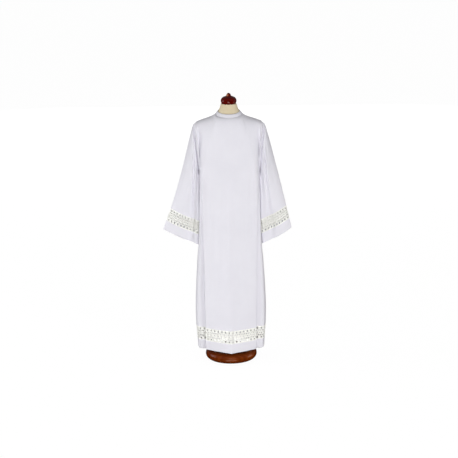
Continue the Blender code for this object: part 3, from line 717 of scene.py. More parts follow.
def creased_body(face):
    """The outside of a body panel with its creases, and drawn in along the armholes."""
    sign = PANELS[face][0]
    grid = body_grid(face)
    if sign < 0:
        grid = soften_ridge(grid)
    middle = grid.shape[1] // 2
    across = np.array([row_lengths(row) for row in grid])
    edge = np.minimum(across, across[:, -1:] - across)
    across = (across - across[:, middle : middle + 1]) * (1 if sign < 0 else -1)
    yoke = np.clip((np.arange(len(grid)) - BODY_ROWS + 1) / YOKE_ROWS, 0.0, 1.0)[:, None]
    top = 1.0 - yoke
    push = sum(pressed(path, grid[..., 2], across, *size) for path, *size in CREASES[face])
    push += rippled(grid, BODY_RIPPLE, 1 if sign < 0 else 2)
    height, place, width = ARMHOLE_ROLL
    push += height * bell(edge - place, width) * lasting(ROLL_SPAN, yoke)
    fade = ease(*FADE_AT_EDGE, edge) * np.where(yoke > 0, ease(*FADE_AT_SHOULDER, top), 1.0)
    fade = fade * ease(*FADE_AT_LACE, grid[..., 2] - LACE_TOP_HEIGHT)
    grid = grid + grid_normals(grid) * (push * fade)[..., None]
    return armhole_valley(grid, edge, yoke[:, 0], sign)


def valley_depth(side, up):
    """How far the armhole seam is drawn in, from the underarm to the shoulder tip."""
    return ARMHOLE_VALLEY[side][0] * lasting(VALLEY_SPAN, up)


def armhole_valley(grid, edge, ups, sign):
    """Draws the body in along both of its armhole seams."""
    middle = grid.shape[1] // 2
    for i, up in enumerate(ups):
        if up <= 0.0:
            continue
        out = armhole_outward(sign, float(up))
        for side, way in (("right", -1.0), ("left", 1.0)):
            half = slice(0, middle) if way * sign > 0 else slice(middle + 1, None)
            _, width, place = ARMHOLE_VALLEY[side]
            pull = valley_depth(side, float(up)) * bell(edge[i, half] - place, width)
            grid[i, half] -= out * np.array((way, 1.0, 1.0)) * pull[:, None]
    return grid


# ---------------------------------------------------------------- sleeves


def cuff_frame(sleeve):
    """Corners of the cuff, the normal of its plane that points up the sleeve, and the way up each edge."""
    outer = np.array((sleeve["cuff_outer"][0], 0.0, sleeve["cuff_outer"][1]))
    inner = np.array((sleeve["cuff_inner"][0], 0.0, sleeve["cuff_inner"][1]))
    line = unit(outer - inner)
    level = np.array((-line[2], 0.0, line[0]))
    outer_way = unit(np.array((-sleeve["outer_slope"], 0.0, 1.0)))
    inner_way = unit(np.array((-sleeve["inner_slope"], 0.0, 1.0)))
    return outer, inner, level, outer_way, inner_way


def fold_at(fold, column):
    """How far a cuff is drawn in at a column: a trough, with a low roll beside it."""
    centre, depth = fold
    trough = bell(column - centre, CUFF_FOLD["width"])
    roll = bell(column - centre - CUFF_FOLD["roll_place"], CUFF_FOLD["roll_width"])
    return depth * (trough - CUFF_FOLD["roll_height"] * roll)


def cuff_point(sleeve, column, sign, rise):
    """A point of a ring near the cuff, at a height up the sleeve from the cuff edge."""
    outer, inner, level, outer_way, inner_way = cuff_frame(sleeve)
    outer = outer + outer_way * (rise / outer_way.dot(level))
    inner = inner + inner_way * (rise / inner_way.dot(level))
    along = column / SLEEVE_COLUMNS
    depth = between(sleeve["cuff_depth"], sleeve["lace_depth"], rise / (CUFF_BORDER + LACE_BAND))
    fold = sleeve["front_fold"] if sign < 0 else sleeve["back_fold"]
    swing = max(0.0, math.sin(math.pi * along))
    out = depth * swing**CUFF_ROUNDNESS - fold_at(fold, column) * min(1.0, 2.0 * swing)
    point = between(outer, inner, along)
    point[1] = sign * out
    return point


def sleeve_curve(sleeve, column, sign):
    """The curve of one column of a sleeve, from the armhole down to the top of the cuff openwork."""
    turn = math.pi * column / SLEEVE_COLUMNS
    high = armhole_point(sign, 1.0 - column / SLEEVE_COLUMNS) + np.array((SEAM_GAP, 0.0, 0.0))
    if column in (0, SLEEVE_COLUMNS):
        high[1] = 0.0
    low = cuff_point(sleeve, column, sign, CUFF_BORDER + LACE_BAND)
    half = (1.0 + math.cos(turn)) / 2
    reach = np.array((
        between(UNDERARM_REACH, SHOULDER_REACH, half) + FRONT_REACH * math.sin(turn),
        sign * FRONT_REACH * math.sin(turn),
        -between(UNDERARM_DROP, SHOULDER_DROP, half),
    ))
    _, _, _, outer_way, inner_way = cuff_frame(sleeve)
    lift = between(inner_way * INNER_HANDLE_SHARE, outer_way, half) * LOWER_HANDLE
    lift[1] = sign * SLEEVE_SWELL * math.sin(turn)
    return np.array((high, high + reach, low + lift, low))


def sleeve_columns():
    """Columns of a ring round a sleeve, as (column, sign): outer edge, back, inner edge, front."""
    steps = SLEEVE_COLUMNS * FINER
    back = [(k / FINER, 1) for k in range(steps + 1)]
    return back + [(k / FINER, -1) for k in range(steps - 1, 0, -1)]


def lean(places):
    """How each column of a +X sleeve moves: towards the body, and forwards beside it."""
    inwards, column, width = SLEEVE_LEAN
    moves = np.zeros((len(places), 3))
    moves[:, 0] = -inwards * bell(np.abs(places) - column, width)
    forwards, column, width = SLEEVE_BULGE
    round_front = np.where(places > 0, places - 2 * SLEEVE_COLUMNS, places)
    moves[:, 1] = -forwards * bell(round_front + column, width)
    return moves


def sleeve_grid(side):
    """The outside of a sleeve on the +X side, lowest row first."""
    sleeve = SLEEVES[side]
    columns = sleeve_columns()
    curves = np.array([sleeve_curve(sleeve, column, sign) for column, sign in columns]).swapaxes(0, 1)
    downs = np.linspace(1.0, 0.0, SLEEVE_ROWS) ** SLEEVE_ROW_CROWDING
    grid = np.array([bezier(*curves, down) for down in downs])
    places = np.array([column * sign for column, sign in columns])
    push = np.zeros(grid.shape[:2])
    for path, width, depth in SLEEVE_CREASES[side]:
        push += pressed(path, downs[:, None], places[None, :], width, depth)
    push += rippled(grid, SLEEVE_RIPPLE, 3 if side == "left" else 4)
    fade = lasting((FADE_AT_ARMHOLE, FADE_AT_CUFF), downs)[:, None]
    near_underarm = (1.0 - ease(*FADE_AT_UNDERARM, downs))[:, None]
    inner = 1.0 - bell(np.abs(places) - SLEEVE_COLUMNS, UNDERARM_COLUMNS) * near_underarm
    grid = grid + grid_normals(grid, closed=True) * (push * fade * inner)[..., None]
    grid += lean(places)[None, :, :] * ease(*LEAN_STARTS, downs)[:, None, None]
    _, width, place = ARMHOLE_VALLEY[side]
    for j, (column, sign) in enumerate(columns):
        up = 1.0 - column / SLEEVE_COLUMNS
        lengths = row_lengths(grid[::-1, j])[::-1]
        pull = valley_depth(side, up) * bell(lengths + place, width)
        grid[:, j] -= armhole_outward(sign, up) * pull[:, None]
    return grid


def cuff_grid(side, rises):
    """The outside of a cuff on the +X side, at some heights up the sleeve from its edge."""
    sleeve = SLEEVES[side]
    columns = sleeve_columns()
    grid = np.array([[cuff_point(sleeve, column, sign, rise) for column, sign in columns] for rise in rises])
    grid += lean(np.array([column * sign for column, sign in columns]))
    return grid


def on_side(side, grid):
    """Moves a grid of the +X side to the sleeve's own side."""
    return grid if SLEEVES[side]["sign"] > 0 else mirrored(grid)


# ---------------------------------------------------------------- openwork


def hole_ring(hole, grown):
    """Outline of one hole of the repeat, grown outwards by a distance, in millimetres."""
    across, up, half_width, half_height, slant, taper, sides, _ = hole
    turn = math.radians(slant)
    ring = []
    for k in range(sides):
        angle = 2 * math.pi * k / sides
        x = max(half_width * (1.0 - taper * math.cos(angle)) + grown, LEAST_HOLE) * math.sin(angle)
        y = (half_height + grown) * math.cos(angle)
        ring.append((across + x * math.cos(turn) + y * math.sin(turn),
                     up - x * math.sin(turn) + y * math.cos(turn)))
    return ring


def inside(ring, x, y):
    """Whether a point lies in a closed outline."""
    hit = False
    for (ax, ay), (bx, by) in zip(ring, ring[1:] + ring[:1]):
        if (ay > y) != (by > y) and x < (bx - ax) * (y - ay) / (by - ay) + ax:
            hit = not hit
    return hit


def openwork_repeat(shrink):
    """One repeat, its holes smaller by shrink: points (across, up, height), triangles, and its two sides."""
    band = LACE_BAND * 1000
    marks = np.linspace(0.0, band, BAND_ROWS + 1)
    flat = [(x, y, 0.0) for x in (0.0, PITCH) for y in marks]
    flat += [(x, y, 0.0) for y in (0.0, band) for x in np.linspace(0.0, PITCH, EDGE_STEPS + 1)[1:-1]]
    edges = [(k, k + 1) for k in range(BAND_ROWS)]
    edges += [(k + BAND_ROWS + 1, k + BAND_ROWS + 2) for k in range(BAND_ROWS)]
    rims = []
    for hole in HOLES:
        for share, height in CORD_RINGS:
            start = len(flat)
            ring = hole_ring(hole, share * hole[-1] - shrink)
            flat += [(x, y, height * CORD_HEIGHT) for x, y in ring]
            edges += [(start + k, start + (k + 1) % len(ring)) for k in range(len(ring))]
            if share == 0.0:
                rims.append(ring)
    found = geometry.delaunay_2d_cdt([Vector(p[:2]) for p in flat], edges, [], 0, 1e-5, True)
    corners, faces, origins = found[0], found[2], found[3]
    points = [(p.x, p.y, flat[o[0]][2] if o else 0.0) for p, o in zip(corners, origins)]
    kept = []
    for face in faces:
        x = sum(points[c][0] for c in face) / 3
        y = sum(points[c][1] for c in face) / 3
        if not any(inside(rim, x, y) for rim in rims):
            kept.append(tuple(face))
    points = np.array(points)
    sides = []
    for x in (0.0, PITCH):
        near = [k for k, p in enumerate(points) if abs(p[0] - x) < TOLERANCE]
        sides.append(sorted(near, key=lambda k: points[k][1]))
    return points, np.array(kept), sides


def plain_repeat():
    """A repeat without holes, for where the band turns round a fold."""
    marks = np.linspace(0.0, LACE_BAND * 1000, BAND_ROWS + 1)
    points = [(PITCH * k / FINER, mark, 0.0) for k in range(FINER + 1) for mark in marks]
    grid = np.arange(len(points)).reshape(FINER + 1, BAND_ROWS + 1)
    triangles = []
    for k in range(FINER):
        for m in range(BAND_ROWS):
            a, b, c, d = grid[k, m], grid[k + 1, m], grid[k + 1, m + 1], grid[k, m + 1]
            triangles += [(a, b, c), (a, c, d)]
    return np.array(points), np.array(triangles), (grid[0], grid[-1])


def band_map(foot, top, place, up):
    """Points of a band: place counts cells of the finer rows, up is 0 at the foot and 1 at the top."""
    low = np.clip(np.floor(place).astype(int), 0, len(foot) - 2)
    part = (place - low)[:, None]
    bottom = between(foot[low], foot[low + 1], part)
    upper = between(top[low], top[low + 1], part)
    return between(bottom, upper, up[:, None])


def lace_faces(cells):
    """Points of a whole band as (place, up, height) and its triangles, joined from cell to cell.

    A cell is one repeat, or None where the band turns round a fold.
    """
    places = []
    faces = []
    last = None
    start = 0
    plain = plain_repeat()
    for cell, repeat in enumerate(cells):
        points, triangles, (left, right) = repeat or plain
        ids = np.arange(len(points)) + start
        if last is not None:
            ids[left] = last
        places.append(points / (PITCH, LACE_BAND * 1000, 1000.0) + (cell, 0.0, 0.0))
        faces.append(ids[triangles])
        last = ids[right]
        start += len(points)
    places = np.concatenate(places)
    faces = np.concatenate(faces)
    used, index = np.unique(faces, return_inverse=True)
    return places[used], index.reshape(faces.shape)


def add_band_cords(foot, top, outward, points, faces):
    """Straight and waved cords laid along the band."""
    steps = (len(foot) - 1) * 2
    place = np.linspace(0.0, len(foot) - 1, steps + 1)
    for height, swing, radius in CORDS:
        up = (height + swing * np.cos(2 * math.pi * place / FINER)) / (LACE_BAND * 1000)
        line = band_map(foot, top, place, up)
        facing = unit(band_map(*outward, place, up))
        along = unit(np.gradient(line, axis=0))
        side = np.cross(along, facing)
        start = sum(len(p) for p in points)
        ring = []
        for k in range(THREAD_SIDES):
            angle = 2 * math.pi * k / THREAD_SIDES
            ring.append(line + (side * math.cos(angle) + facing * (math.sin(angle) + CORD_LIFT)) * radius)
        points.append(np.stack(ring, axis=1).reshape(-1, 3))
        for i in range(steps):
            for a, b, c, d in strip(start + i * THREAD_SIDES, THREAD_SIDES):
                faces.append((a, d, c, b))
        faces.append(tuple(start + k for k in range(THREAD_SIDES)))
        faces.append(tuple(start + steps * THREAD_SIDES + k for k in reversed(range(THREAD_SIDES))))


def add_lace(name, foot, top, cells, material):
    """An openwork band between two finer rows of points, with cut holes and raised cords."""
    both = np.array([foot, top])
    outward = grid_normals(both)
    places, triangles = lace_faces(cells)
    line = band_map(foot, top, places[:, 0] * FINER, places[:, 1])
    facing = unit(band_map(*outward, places[:, 0] * FINER, places[:, 1]))
    outer = line + facing * places[:, 2:3]
    inner = line - facing * (LACE_CLOTH + CORD_BACK * places[:, 2:3])
    count = len(outer)
    faces = [tuple(face) for face in triangles.tolist()]
    faces += [(count + c, count + b, count + a) for a, b, c in triangles.tolist()]
    edges = {}
    for a, b, c in triangles.tolist():
        for pair in ((a, b), (b, c), (c, a)):
            edges[pair] = edges.get(pair, 0) + 1
    for a, b in edges:
        if (b, a) not in edges:
            faces.append((b, a, count + a, count + b))
    points = [outer, inner]
    add_band_cords(foot, top, outward, points, faces)
    points = np.concatenate(points)
    flat = np.stack([points[:, 0], points[:, 2]], axis=-1)
    obj = add_mesh(name, points, faces, flat, material, (name,))
    a, b, c = (line[triangles[:, k]] for k in range(3))


# ---------------------------------------------------------------- dress form

ROUND_COLUMNS = 112
TORSO_FOOT_ROWS = 13
TORSO_ROWS = 120
TORSO_FOOT_HEIGHT = 0.80
POLE_HEIGHTS = (0.0623, 0.7797)
PROFILE_STEPS = 5
# The torso is drawn in a little where cloth lies on it: how far, and the heights between which it fades.
UNDER_CLOTH = 0.0016
UNDER_CLOTH_SPAN = ((0.80, 0.84), (1.505, 1.522))


def refined(profile):
    """A turned profile on smooth curves through its points, without the middle of its flat underside."""
    points = np.array(profile)
    fine = [points[1]]
    for k in range(1, len(points) - 1):
        before = points[k - 1] if k > 1 else points[k] - (points[k + 1] - points[k])
        after = points[min(k + 2, len(points) - 1)]
        start = (points[k + 1] - before) / 2
        end = (after - points[k]) / 2
        for step in range(1, PROFILE_STEPS + 1):
            t = step / PROFILE_STEPS
            fine.append(through(points[k], points[k + 1], start, end, t))
    return fine


def add_rings(name, rings, material):
    """A closed solid through rings of points, lowest first. The last may be one point, on the axis."""
    points = np.array([point for ring in rings for point in ring])
    last = (len(points) // ROUND_COLUMNS - 1) * ROUND_COLUMNS
    faces = []
    for start in range(0, last, ROUND_COLUMNS):
        faces += strip(start, ROUND_COLUMNS)
    bottom = tuple(range(ROUND_COLUMNS))[::-1]
    if len(rings[-1]) == 1:
        faces += [(a, b, len(points) - 1) for a, b, _, _ in strip(last, ROUND_COLUMNS)]
        faces.append(bottom)
    else:
        faces += [bottom, tuple(range(last, len(points)))]
    add_mesh(name, points, faces, points[:, [0, 2]], material, (name,))


def circle(radius, height):
    if radius == 0.0:
        return [(0.0, 0.0, height)]
    angles = [2 * math.pi * k / ROUND_COLUMNS for k in range(ROUND_COLUMNS)]
    return [(radius * math.cos(a), radius * math.sin(a), height) for a in angles]


def torso_ring(height):
    half_width, half_depth, roundness = smooth_read(TORSO_SECTIONS, height)
    hidden = UNDER_CLOTH * lasting(UNDER_CLOTH_SPAN, height)
    ring = []
    for k in range(ROUND_COLUMNS):
        angle = 2 * math.pi * k / ROUND_COLUMNS
        c, s = math.cos(angle), math.sin(angle)
        x = (half_width - hidden) * math.copysign(abs(c) ** (2 / roundness), c)
        y = (half_depth - hidden) * math.copysign(abs(s) ** (2 / roundness), s)
        ring.append((x, y, height))
    return ring


def torso_heights():
    low, high = TORSO_SECTIONS[0][0], TORSO_SECTIONS[-1][0]
    foot = np.linspace(low, TORSO_FOOT_HEIGHT, TORSO_FOOT_ROWS)
    return np.concatenate([foot, np.linspace(TORSO_FOOT_HEIGHT, high, TORSO_ROWS)[1:]])


def add_dress_form():
    foot_wood = wood("foot_wood", FOOT_TONES, (9.0, 9.0, 2.0))
    # The cap's wood carries a painted highlight, a lighter orange spot on its knob.
    cap_wood = wood("cap_wood", CAP_TONES, (16.0, 16.0, 5.0), KNOB_PAINTED_HIGHLIGHT)
    foot = [circle(radius, height) for radius, height in refined(FOOT_PROFILE)]
    add_rings("form_foot", foot, foot_wood)
    pole = [circle(POLE_RADIUS, height) for height in np.linspace(*POLE_HEIGHTS, BAND_ROWS)]
    add_rings("form_pole", pole, enamel())
    torso = [torso_ring(float(height)) for height in torso_heights()]
    add_rings("form_torso", torso, form_fabric())
    cap = [circle(radius, height) for radius, height in refined(CAP_PROFILE)]
    add_rings("form_neck_cap", cap, cap_wood)


# ---------------------------------------------------------------- materials

CLOTH_TONES = ((0.795, 0.785, 0.845), (0.840, 0.830, 0.885))
LACE_TONES = ((0.93, 0.93, 0.88), (0.985, 0.985, 0.95))
POLE_TONES = ((0.70, 0.69, 0.66), (0.78, 0.77, 0.75))
FORM_TONES = ((0.68, 0.575, 0.385), (0.76, 0.66, 0.46))
FOOT_TONES = ((0.082, 0.009, 0.001), (0.215, 0.042, 0.004))
CAP_TONES = ((0.052, 0.001, 0.0005), (0.150, 0.004, 0.001))
# A painted highlight on the left of the cap's knob: centre, reach, and the lighter orange colour painted
# round that spot in place of a glint.
KNOB_PAINTED_HIGHLIGHT = ((-0.010, -0.010, 1.6205), 0.009, (0.45, 0.17, 0.08))
THREAD = 0.0008
RIB = 0.0012
CLOTH_GLOSS = {"Specular_IOR_Level": 0.25, "Sheen_Roughness": 0.5}


class Graph:
    """Short calls for adding and joining the nodes of one material."""

    def __init__(self, name):
        self.material = bpy.data.materials.new(name)
        self.material.use_nodes = True
        self.tree = self.material.node_tree
        self.shader = self.tree.nodes["Principled BSDF"]

    def add(self, kind, inputs=None, **settings):
        node = self.tree.nodes.new(kind)
        for key, value in settings.items():
            setattr(node, key, value)
        for key, value in (inputs or {}).items():
            self.set(node, key, value)
        return node

    def set(self, node, key, value):
        socket = node.inputs[key]
        if isinstance(value, bpy.types.NodeSocket):
            self.tree.links.new(value, socket)
        else:
            socket.default_value = value

    def place(self):
        """Places in the object's own space."""
        return self.add("ShaderNodeTexCoord").outputs["Object"]

    def math(self, operation, *values):
        node = self.add("ShaderNodeMath", operation=operation)
        for k, value in enumerate(values):
            self.set(node, k, value)
        return node.outputs[0]

    def blend(self, first, share, second, other_share):
        """first * share + second * other_share."""
        first = self.math("MULTIPLY", first, share)
        second = self.math("MULTIPLY", second, other_share)
        return self.math("ADD", first, second)

    def noise(self, place, scale, detail=3.0, roughness=0.5):
        inputs = {"Vector": place, "Scale": scale, "Detail": detail, "Roughness": roughness}
        return self.add("ShaderNodeTexNoise", inputs).outputs["Fac"]

    def stretched(self, place, scale):
        return self.add("ShaderNodeMapping", {"Vector": place, "Scale": scale}).outputs[0]

    def ramp(self, factor, low, high, start=0.0, end=1.0):
        """Two colours, blended between two values of the factor."""
        node = self.add("ShaderNodeValToRGB", {"Fac": factor})
        node.color_ramp.elements[0].position = start
        node.color_ramp.elements[1].position = end
        node.color_ramp.elements[0].color = (*low, 1.0)
        node.color_ramp.elements[1].color = (*high, 1.0)
        return node.outputs[0]

    def span(self, value, low, high, start=0.3, end=0.7):
        """The value, carried from the range of start to end into the range of low to high."""
        inputs = {"Value": value, "From Min": start, "From Max": end, "To Min": low, "To Max": high}
        return self.add("ShaderNodeMapRange", inputs).outputs[0]

    def bump(self, height, strength, distance, under=None):
        inputs = {"Height": height, "Strength": strength, "Distance": distance}
        if under is not None:
            inputs["Normal"] = under
        return self.add("ShaderNodeBump", inputs).outputs[0]

    def finish(self, colour, roughness, normal, **constants):
        self.set(self.shader, "Base Color", colour)
        self.set(self.shader, "Roughness", roughness)
        self.set(self.shader, "Normal", normal)
        for key, value in constants.items():
            self.shader.inputs[key.replace("_", " ")].default_value = value
        return self.material


def woven(name, tones, thread, crumple):
    """Plain weave: crossing threads with slubs, soft crumples, and slightly uneven colour."""
    graph = Graph(name)
    place = graph.add("ShaderNodeUVMap", uv_map="cloth").outputs[0]
    parts = graph.add("ShaderNodeSeparateXYZ", {"Vector": place})
    turns = 2 * math.pi / thread
    weft = graph.math("SINE", graph.math("MULTIPLY", parts.outputs[0], turns))
    warp = graph.math("SINE", graph.math("MULTIPLY", parts.outputs[1], turns))
    weave = graph.math("MULTIPLY", weft, warp)
    slub_across = graph.noise(graph.stretched(place, (30.0, 900.0, 1.0)), 1.0)
    slub_along = graph.noise(graph.stretched(place, (900.0, 30.0, 1.0)), 1.0)
    slubs = graph.math("ADD", slub_across, slub_along)
    height = graph.math("ADD", graph.math("MULTIPLY", weave, 0.25), slubs)
    solid = graph.place()
    soft = graph.noise(solid, 14.0, 4.0)
    normal = graph.bump(soft, 0.35, crumple)
    normal = graph.bump(height, 0.30, 0.0002, normal)
    patches = graph.noise(solid, 5.0, 5.0, 0.6)
    tone = graph.blend(patches, 0.7, slubs, 0.15)
    colour = graph.ramp(tone, *tones, 0.35, 0.70)
    roughness = graph.span(graph.noise(solid, 22.0), 0.76, 0.92)
    return graph.finish(colour, roughness, normal, **CLOTH_GLOSS, Sheen_Weight=0.08)


def corded(name, tones):
    """Openwork thread: twisted ply, a little fuzz, and ivory that varies from thread to thread."""
    graph = Graph(name)
    solid = graph.place()
    ply = graph.noise(graph.stretched(solid, (900.0, 900.0, 1500.0)), 1.0, 2.0)
    fuzz = graph.noise(solid, 420.0, 3.0)
    normal = graph.bump(graph.math("ADD", ply, fuzz), 0.5, 0.0003)
    tone = graph.blend(graph.noise(solid, 9.0, 4.0), 0.6, ply, 0.4)
    colour = graph.ramp(tone, *tones, 0.35, 0.65)
    roughness = graph.span(fuzz, 0.72, 0.90)
    return graph.finish(colour, roughness, normal, **CLOTH_GLOSS, Sheen_Weight=0.10)


def form_fabric():
    """Cream stretch cover of the form: fine ribs of knit, faintly soiled in patches."""
    graph = Graph("form_fabric")
    solid = graph.place()
    parts = graph.add("ShaderNodeSeparateXYZ", {"Vector": solid})
    ribs = graph.math("SINE", graph.math("MULTIPLY", parts.outputs[2], 2 * math.pi / RIB))
    loops = graph.noise(graph.stretched(solid, (700.0, 700.0, 1100.0)), 1.0, 2.0)
    height = graph.math("ADD", graph.math("MULTIPLY", ribs, 0.3), loops)
    normal = graph.bump(height, 0.35, 0.0003)
    tone = graph.blend(graph.noise(solid, 12.0, 5.0), 0.75, loops, 0.25)
    colour = graph.ramp(tone, *FORM_TONES, 0.35, 0.65)
    roughness = graph.span(graph.noise(solid, 30.0), 0.80, 0.95)
    return graph.finish(colour, roughness, normal, Sheen_Weight=0.15, Sheen_Roughness=0.5)


def wood(name, tones, grain_scale, painted_highlight=None):
    """Red-brown varnished wood: rings, fine pores, unevenly rubbed gloss, and perhaps one painted highlight,
    a lighter orange spot.
    """
    graph = Graph(name)
    solid = graph.place()
    place = graph.stretched(solid, grain_scale)
    bent = graph.noise(place, 1.2, 3.0)
    inputs = {"Vector": place, "Scale": 2.2, "Distortion": 5.0, "Detail": 3.0}
    rings = graph.add("ShaderNodeTexWave", inputs, wave_type="BANDS", bands_direction="Y").outputs["Fac"]
    pores = graph.noise(graph.stretched(solid, (900.0, 60.0, 900.0)), 1.0, 2.0)
    tone = graph.blend(rings, 0.20, bent, 0.80)
    tone = graph.math("SUBTRACT", tone, graph.math("MULTIPLY", pores, 0.12))
    colour = graph.ramp(tone, *tones, 0.15, 0.85)
    rubbed = graph.noise(graph.stretched(solid, (50.0, 50.0, 14.0)), 1.0, 4.0)
    if painted_highlight is not None:
        # Painted highlight: round one spot the colour turns to a lighter orange that stands in for a glint.
        spot, reach, highlight_colour = painted_highlight
        away = graph.add("ShaderNodeVectorMath", {0: solid, 1: spot}, operation="DISTANCE")
        away = away.outputs["Value"]
        ragged = graph.math("ADD", away, graph.math("MULTIPLY", rubbed, 0.5 * reach))
        share = graph.span(ragged, 1.0, 0.0, 0.6 * reach, 1.5 * reach)
        inputs = {"Fac": share, "Color1": colour, "Color2": (*highlight_colour, 1.0)}
        colour = graph.add("ShaderNodeMixRGB", inputs).outputs[0]
    roughness = graph.span(rubbed, 0.17, 0.24)
    normal = graph.bump(pores, 0.008, 0.0002)
    return graph.finish(colour, roughness, normal, IOR=1.20)


def enamel():
    """Off-white stove enamel on the pole: a faint orange peel, and yellowing in patches."""
    graph = Graph("pole_enamel")
    solid = graph.place()
    peel = graph.noise(solid, 260.0, 2.0)
    colour = graph.ramp(graph.noise(solid, 7.0, 4.0), *POLE_TONES, 0.35, 0.65)
    roughness = graph.span(graph.noise(solid, 30.0), 0.32, 0.48)
    return graph.finish(colour, roughness, graph.bump(peel, 0.15, 0.0002))


# ---------------------------------------------------------------- the robe


def add_panel(face, cloth, seams):
    grid = creased_body(face)
    add_cloth("alb_" + face, grid, cloth)
    seams.append(seam_line(grid, 1))


def add_hem(face, cloth, openwork, repeats, seams):
    """Openwork band and turned border at the foot of a panel."""
    cells = []
    for place, (_, count, folded, _) in enumerate(PANELS[face][1][1:]):
        kind = "tight" if face == "front" and place == 0 else "open"
        cells += [repeats[kind]] * count + [None] * folded
    cells = cells[::-1] + cells
    foot = body_row(face, LACE_FOOT_HEIGHT)
    top = body_row(face, LACE_TOP_HEIGHT)
    add_lace("hem_lace_" + face, foot, top, cells, openwork)
    heights = np.linspace(HEM_HEIGHT, LACE_FOOT_HEIGHT - SEAM_GAP, BAND_ROWS)
    grid = np.array([body_row(face, height) for height in heights])
    add_cloth("hem_border_" + face, grid, cloth, thickness=HEM_CLOTH, rounding=HEM_ROUND)
    seams.append(seam_line(grid, -2))


def add_collar(cloth, seams):
    """Standing band round the neck, slightly rounded from foot to top."""
    steps = NECK_COLUMNS * FINER
    plus = [neck_angle(-1, k / FINER) for k in range(steps + 1)]
    plus += [neck_angle(1, k / FINER) for k in range(steps - 1, -1, -1)]
    angles = plus + [math.pi - angle for angle in plus[-2:0:-1]]
    foot = np.array([neck_point(NECK_SEAM, angle) for angle in angles])
    top = np.array([neck_point(NECK_TOP, angle) for angle in angles])
    foot = foot + unit(top - foot) * SEAM_GAP
    out = np.array([neck_outward(angle) for angle in angles])
    ups = np.linspace(0.0, 1.0, COLLAR_ROWS)
    grid = np.array([between(foot, top, t) + out * COLLAR_BOW * math.sin(math.pi * t) for t in ups])
    add_cloth("alb_collar", grid, cloth, closed=True, rounding=HEM_ROUND)
    seams += [seam_line(grid, 1, True), seam_line(grid, -2, True)]


def add_sleeve(side, cloth, openwork, repeats, seams):
    """A sleeve with the two openwork bands and the turned border of its cuff."""
    grid = on_side(side, sleeve_grid(side))
    add_cloth("sleeve_" + side, grid, cloth, closed=True)
    seams += [seam_line(grid, -2, True), seam_line(grid, 1, True)]
    steps = SLEEVE_COLUMNS * FINER
    for sign, face, kind in ((-1, "front", "open"), (1, "back", "tightest")):
        rows = []
        for rise in (CUFF_BORDER, CUFF_BORDER + LACE_BAND):
            row = np.array([cuff_point(SLEEVES[side], k / FINER, sign, rise) for k in range(steps + 1)])
            row[:, 1] = sign * np.maximum(sign * row[:, 1], SEAM_GAP / 2)
            row += lean(sign * np.arange(steps + 1) / FINER)
            rows.append(row if sign > 0 else row[::-1])
        band = on_side(side, np.array(rows))
        cells = [repeats[kind]] * SLEEVE_COLUMNS
        add_lace(f"cuff_lace_{side}_{face}", band[0], band[1], cells, openwork)
    border = on_side(side, cuff_grid(side, np.linspace(0.0, CUFF_BORDER - SEAM_GAP, BAND_ROWS)))
    add_cloth("cuff_border_" + side, border, cloth, True, HEM_CLOTH, HEM_ROUND)
    seams.append(seam_line(border, -2, True))


def add_robe():
    cloth = woven("alb_cloth", CLOTH_TONES, THREAD, 0.0012)
    thread = corded("alb_thread", CLOTH_TONES)
    openwork = corded("alb_openwork", LACE_TONES)
    repeats = {kind: openwork_repeat(shrink) for kind, shrink in REPEATS.items()}
    seams = []
    for face in PANELS:
        add_panel(face, cloth, seams)
        add_hem(face, cloth, openwork, repeats, seams)
    add_collar(cloth, seams)
    add_stitches("stitches_body", seams, thread)
    for side in SLEEVES:
        seams = []
        add_sleeve(side, cloth, openwork, repeats, seams)
        add_stitches("stitches_sleeve_" + side, seams, thread)


# ---------------------------------------------------------------- studio and camera

CAMERA = {"elevation": 15.0, "distance": 12.0, "field": 2.7366, "roll": -0.62, "aim": (-0.006, 0.0, 0.804)}
SENSOR = 36.0
SOFTBOXES = {
    # name: place, aim, width and height, power, whether it shows as broad light and in reflections
    "key": ((0.0, -7.6, 0.3), (0.0, 0.0, 0.8), (3.6, 1.2), 278.0, True, False),
    "left_front": ((-4.8, -5.6, 1.5), (0.0, 0.0, 0.9), (2.6, 2.6), 74.0, True, False),
    "right_front": ((4.8, -5.6, 1.5), (0.0, 0.0, 0.9), (2.6, 2.6), 160.0, True, False),
    "left_side": ((-5.5, 0.0, 1.2), (0.0, 0.0, 0.9), (2.6, 2.6), 128.0, True, True),
    "right_side": ((5.5, 0.0, 1.2), (0.0, 0.0, 0.9), (2.6, 2.6), 38.0, True, True),
    "back": ((0.0, 7.6, 0.9), (0.0, 0.0, 0.8), (3.6, 1.8), 240.0, True, False),
    "low_strip": ((0.0, -1.60, -0.75), (0.0, 0.0, 0.02), (1.2, 0.30), 24.0, False, True),
    "cap_strip": ((0.0, -3.00, 0.75), (0.0, 0.0, 1.58), (1.1, 0.12), 36.0, False, True),
    "foot_glint": ((2.6, 0.10, -0.05), (0.0, 0.0, 0.03), (0.9, 0.9), 26.0, False, True),
}
# The glints on the varnish are warm; the other lights are white.
TINTS = {"foot_glint": (1.0, 0.60, 0.38), "low_strip": (1.0, 0.80, 0.66), "cap_strip": (1.0, 0.72, 0.66)}
# Direction upwards and strength there, low and high in the sky.
SKY = ((-0.05, 0.0), (0.30, 0.34))
FLOOR_GLOW = 0.97
FLOOR_TONE = 0.05
FLOOR_HALF = 60.0
FLOOR_HEIGHT = -0.0005


def add_softbox(name, place, aim, size, power, diffuse, glossy):
    lamp = bpy.data.lights.new(name, "AREA")
    lamp.shape = "RECTANGLE"
    lamp.size, lamp.size_y = size
    lamp.energy = power
    lamp.color = TINTS.get(name, (1.0, 1.0, 1.0))
    obj = bpy.data.objects.new(name, lamp)
    obj.location = place
    obj.rotation_euler = (Vector(aim) - Vector(place)).to_track_quat("-Z", "Y").to_euler()
    obj.visible_diffuse = diffuse
    obj.visible_glossy = glossy
    bpy.context.scene.collection.objects.link(obj)


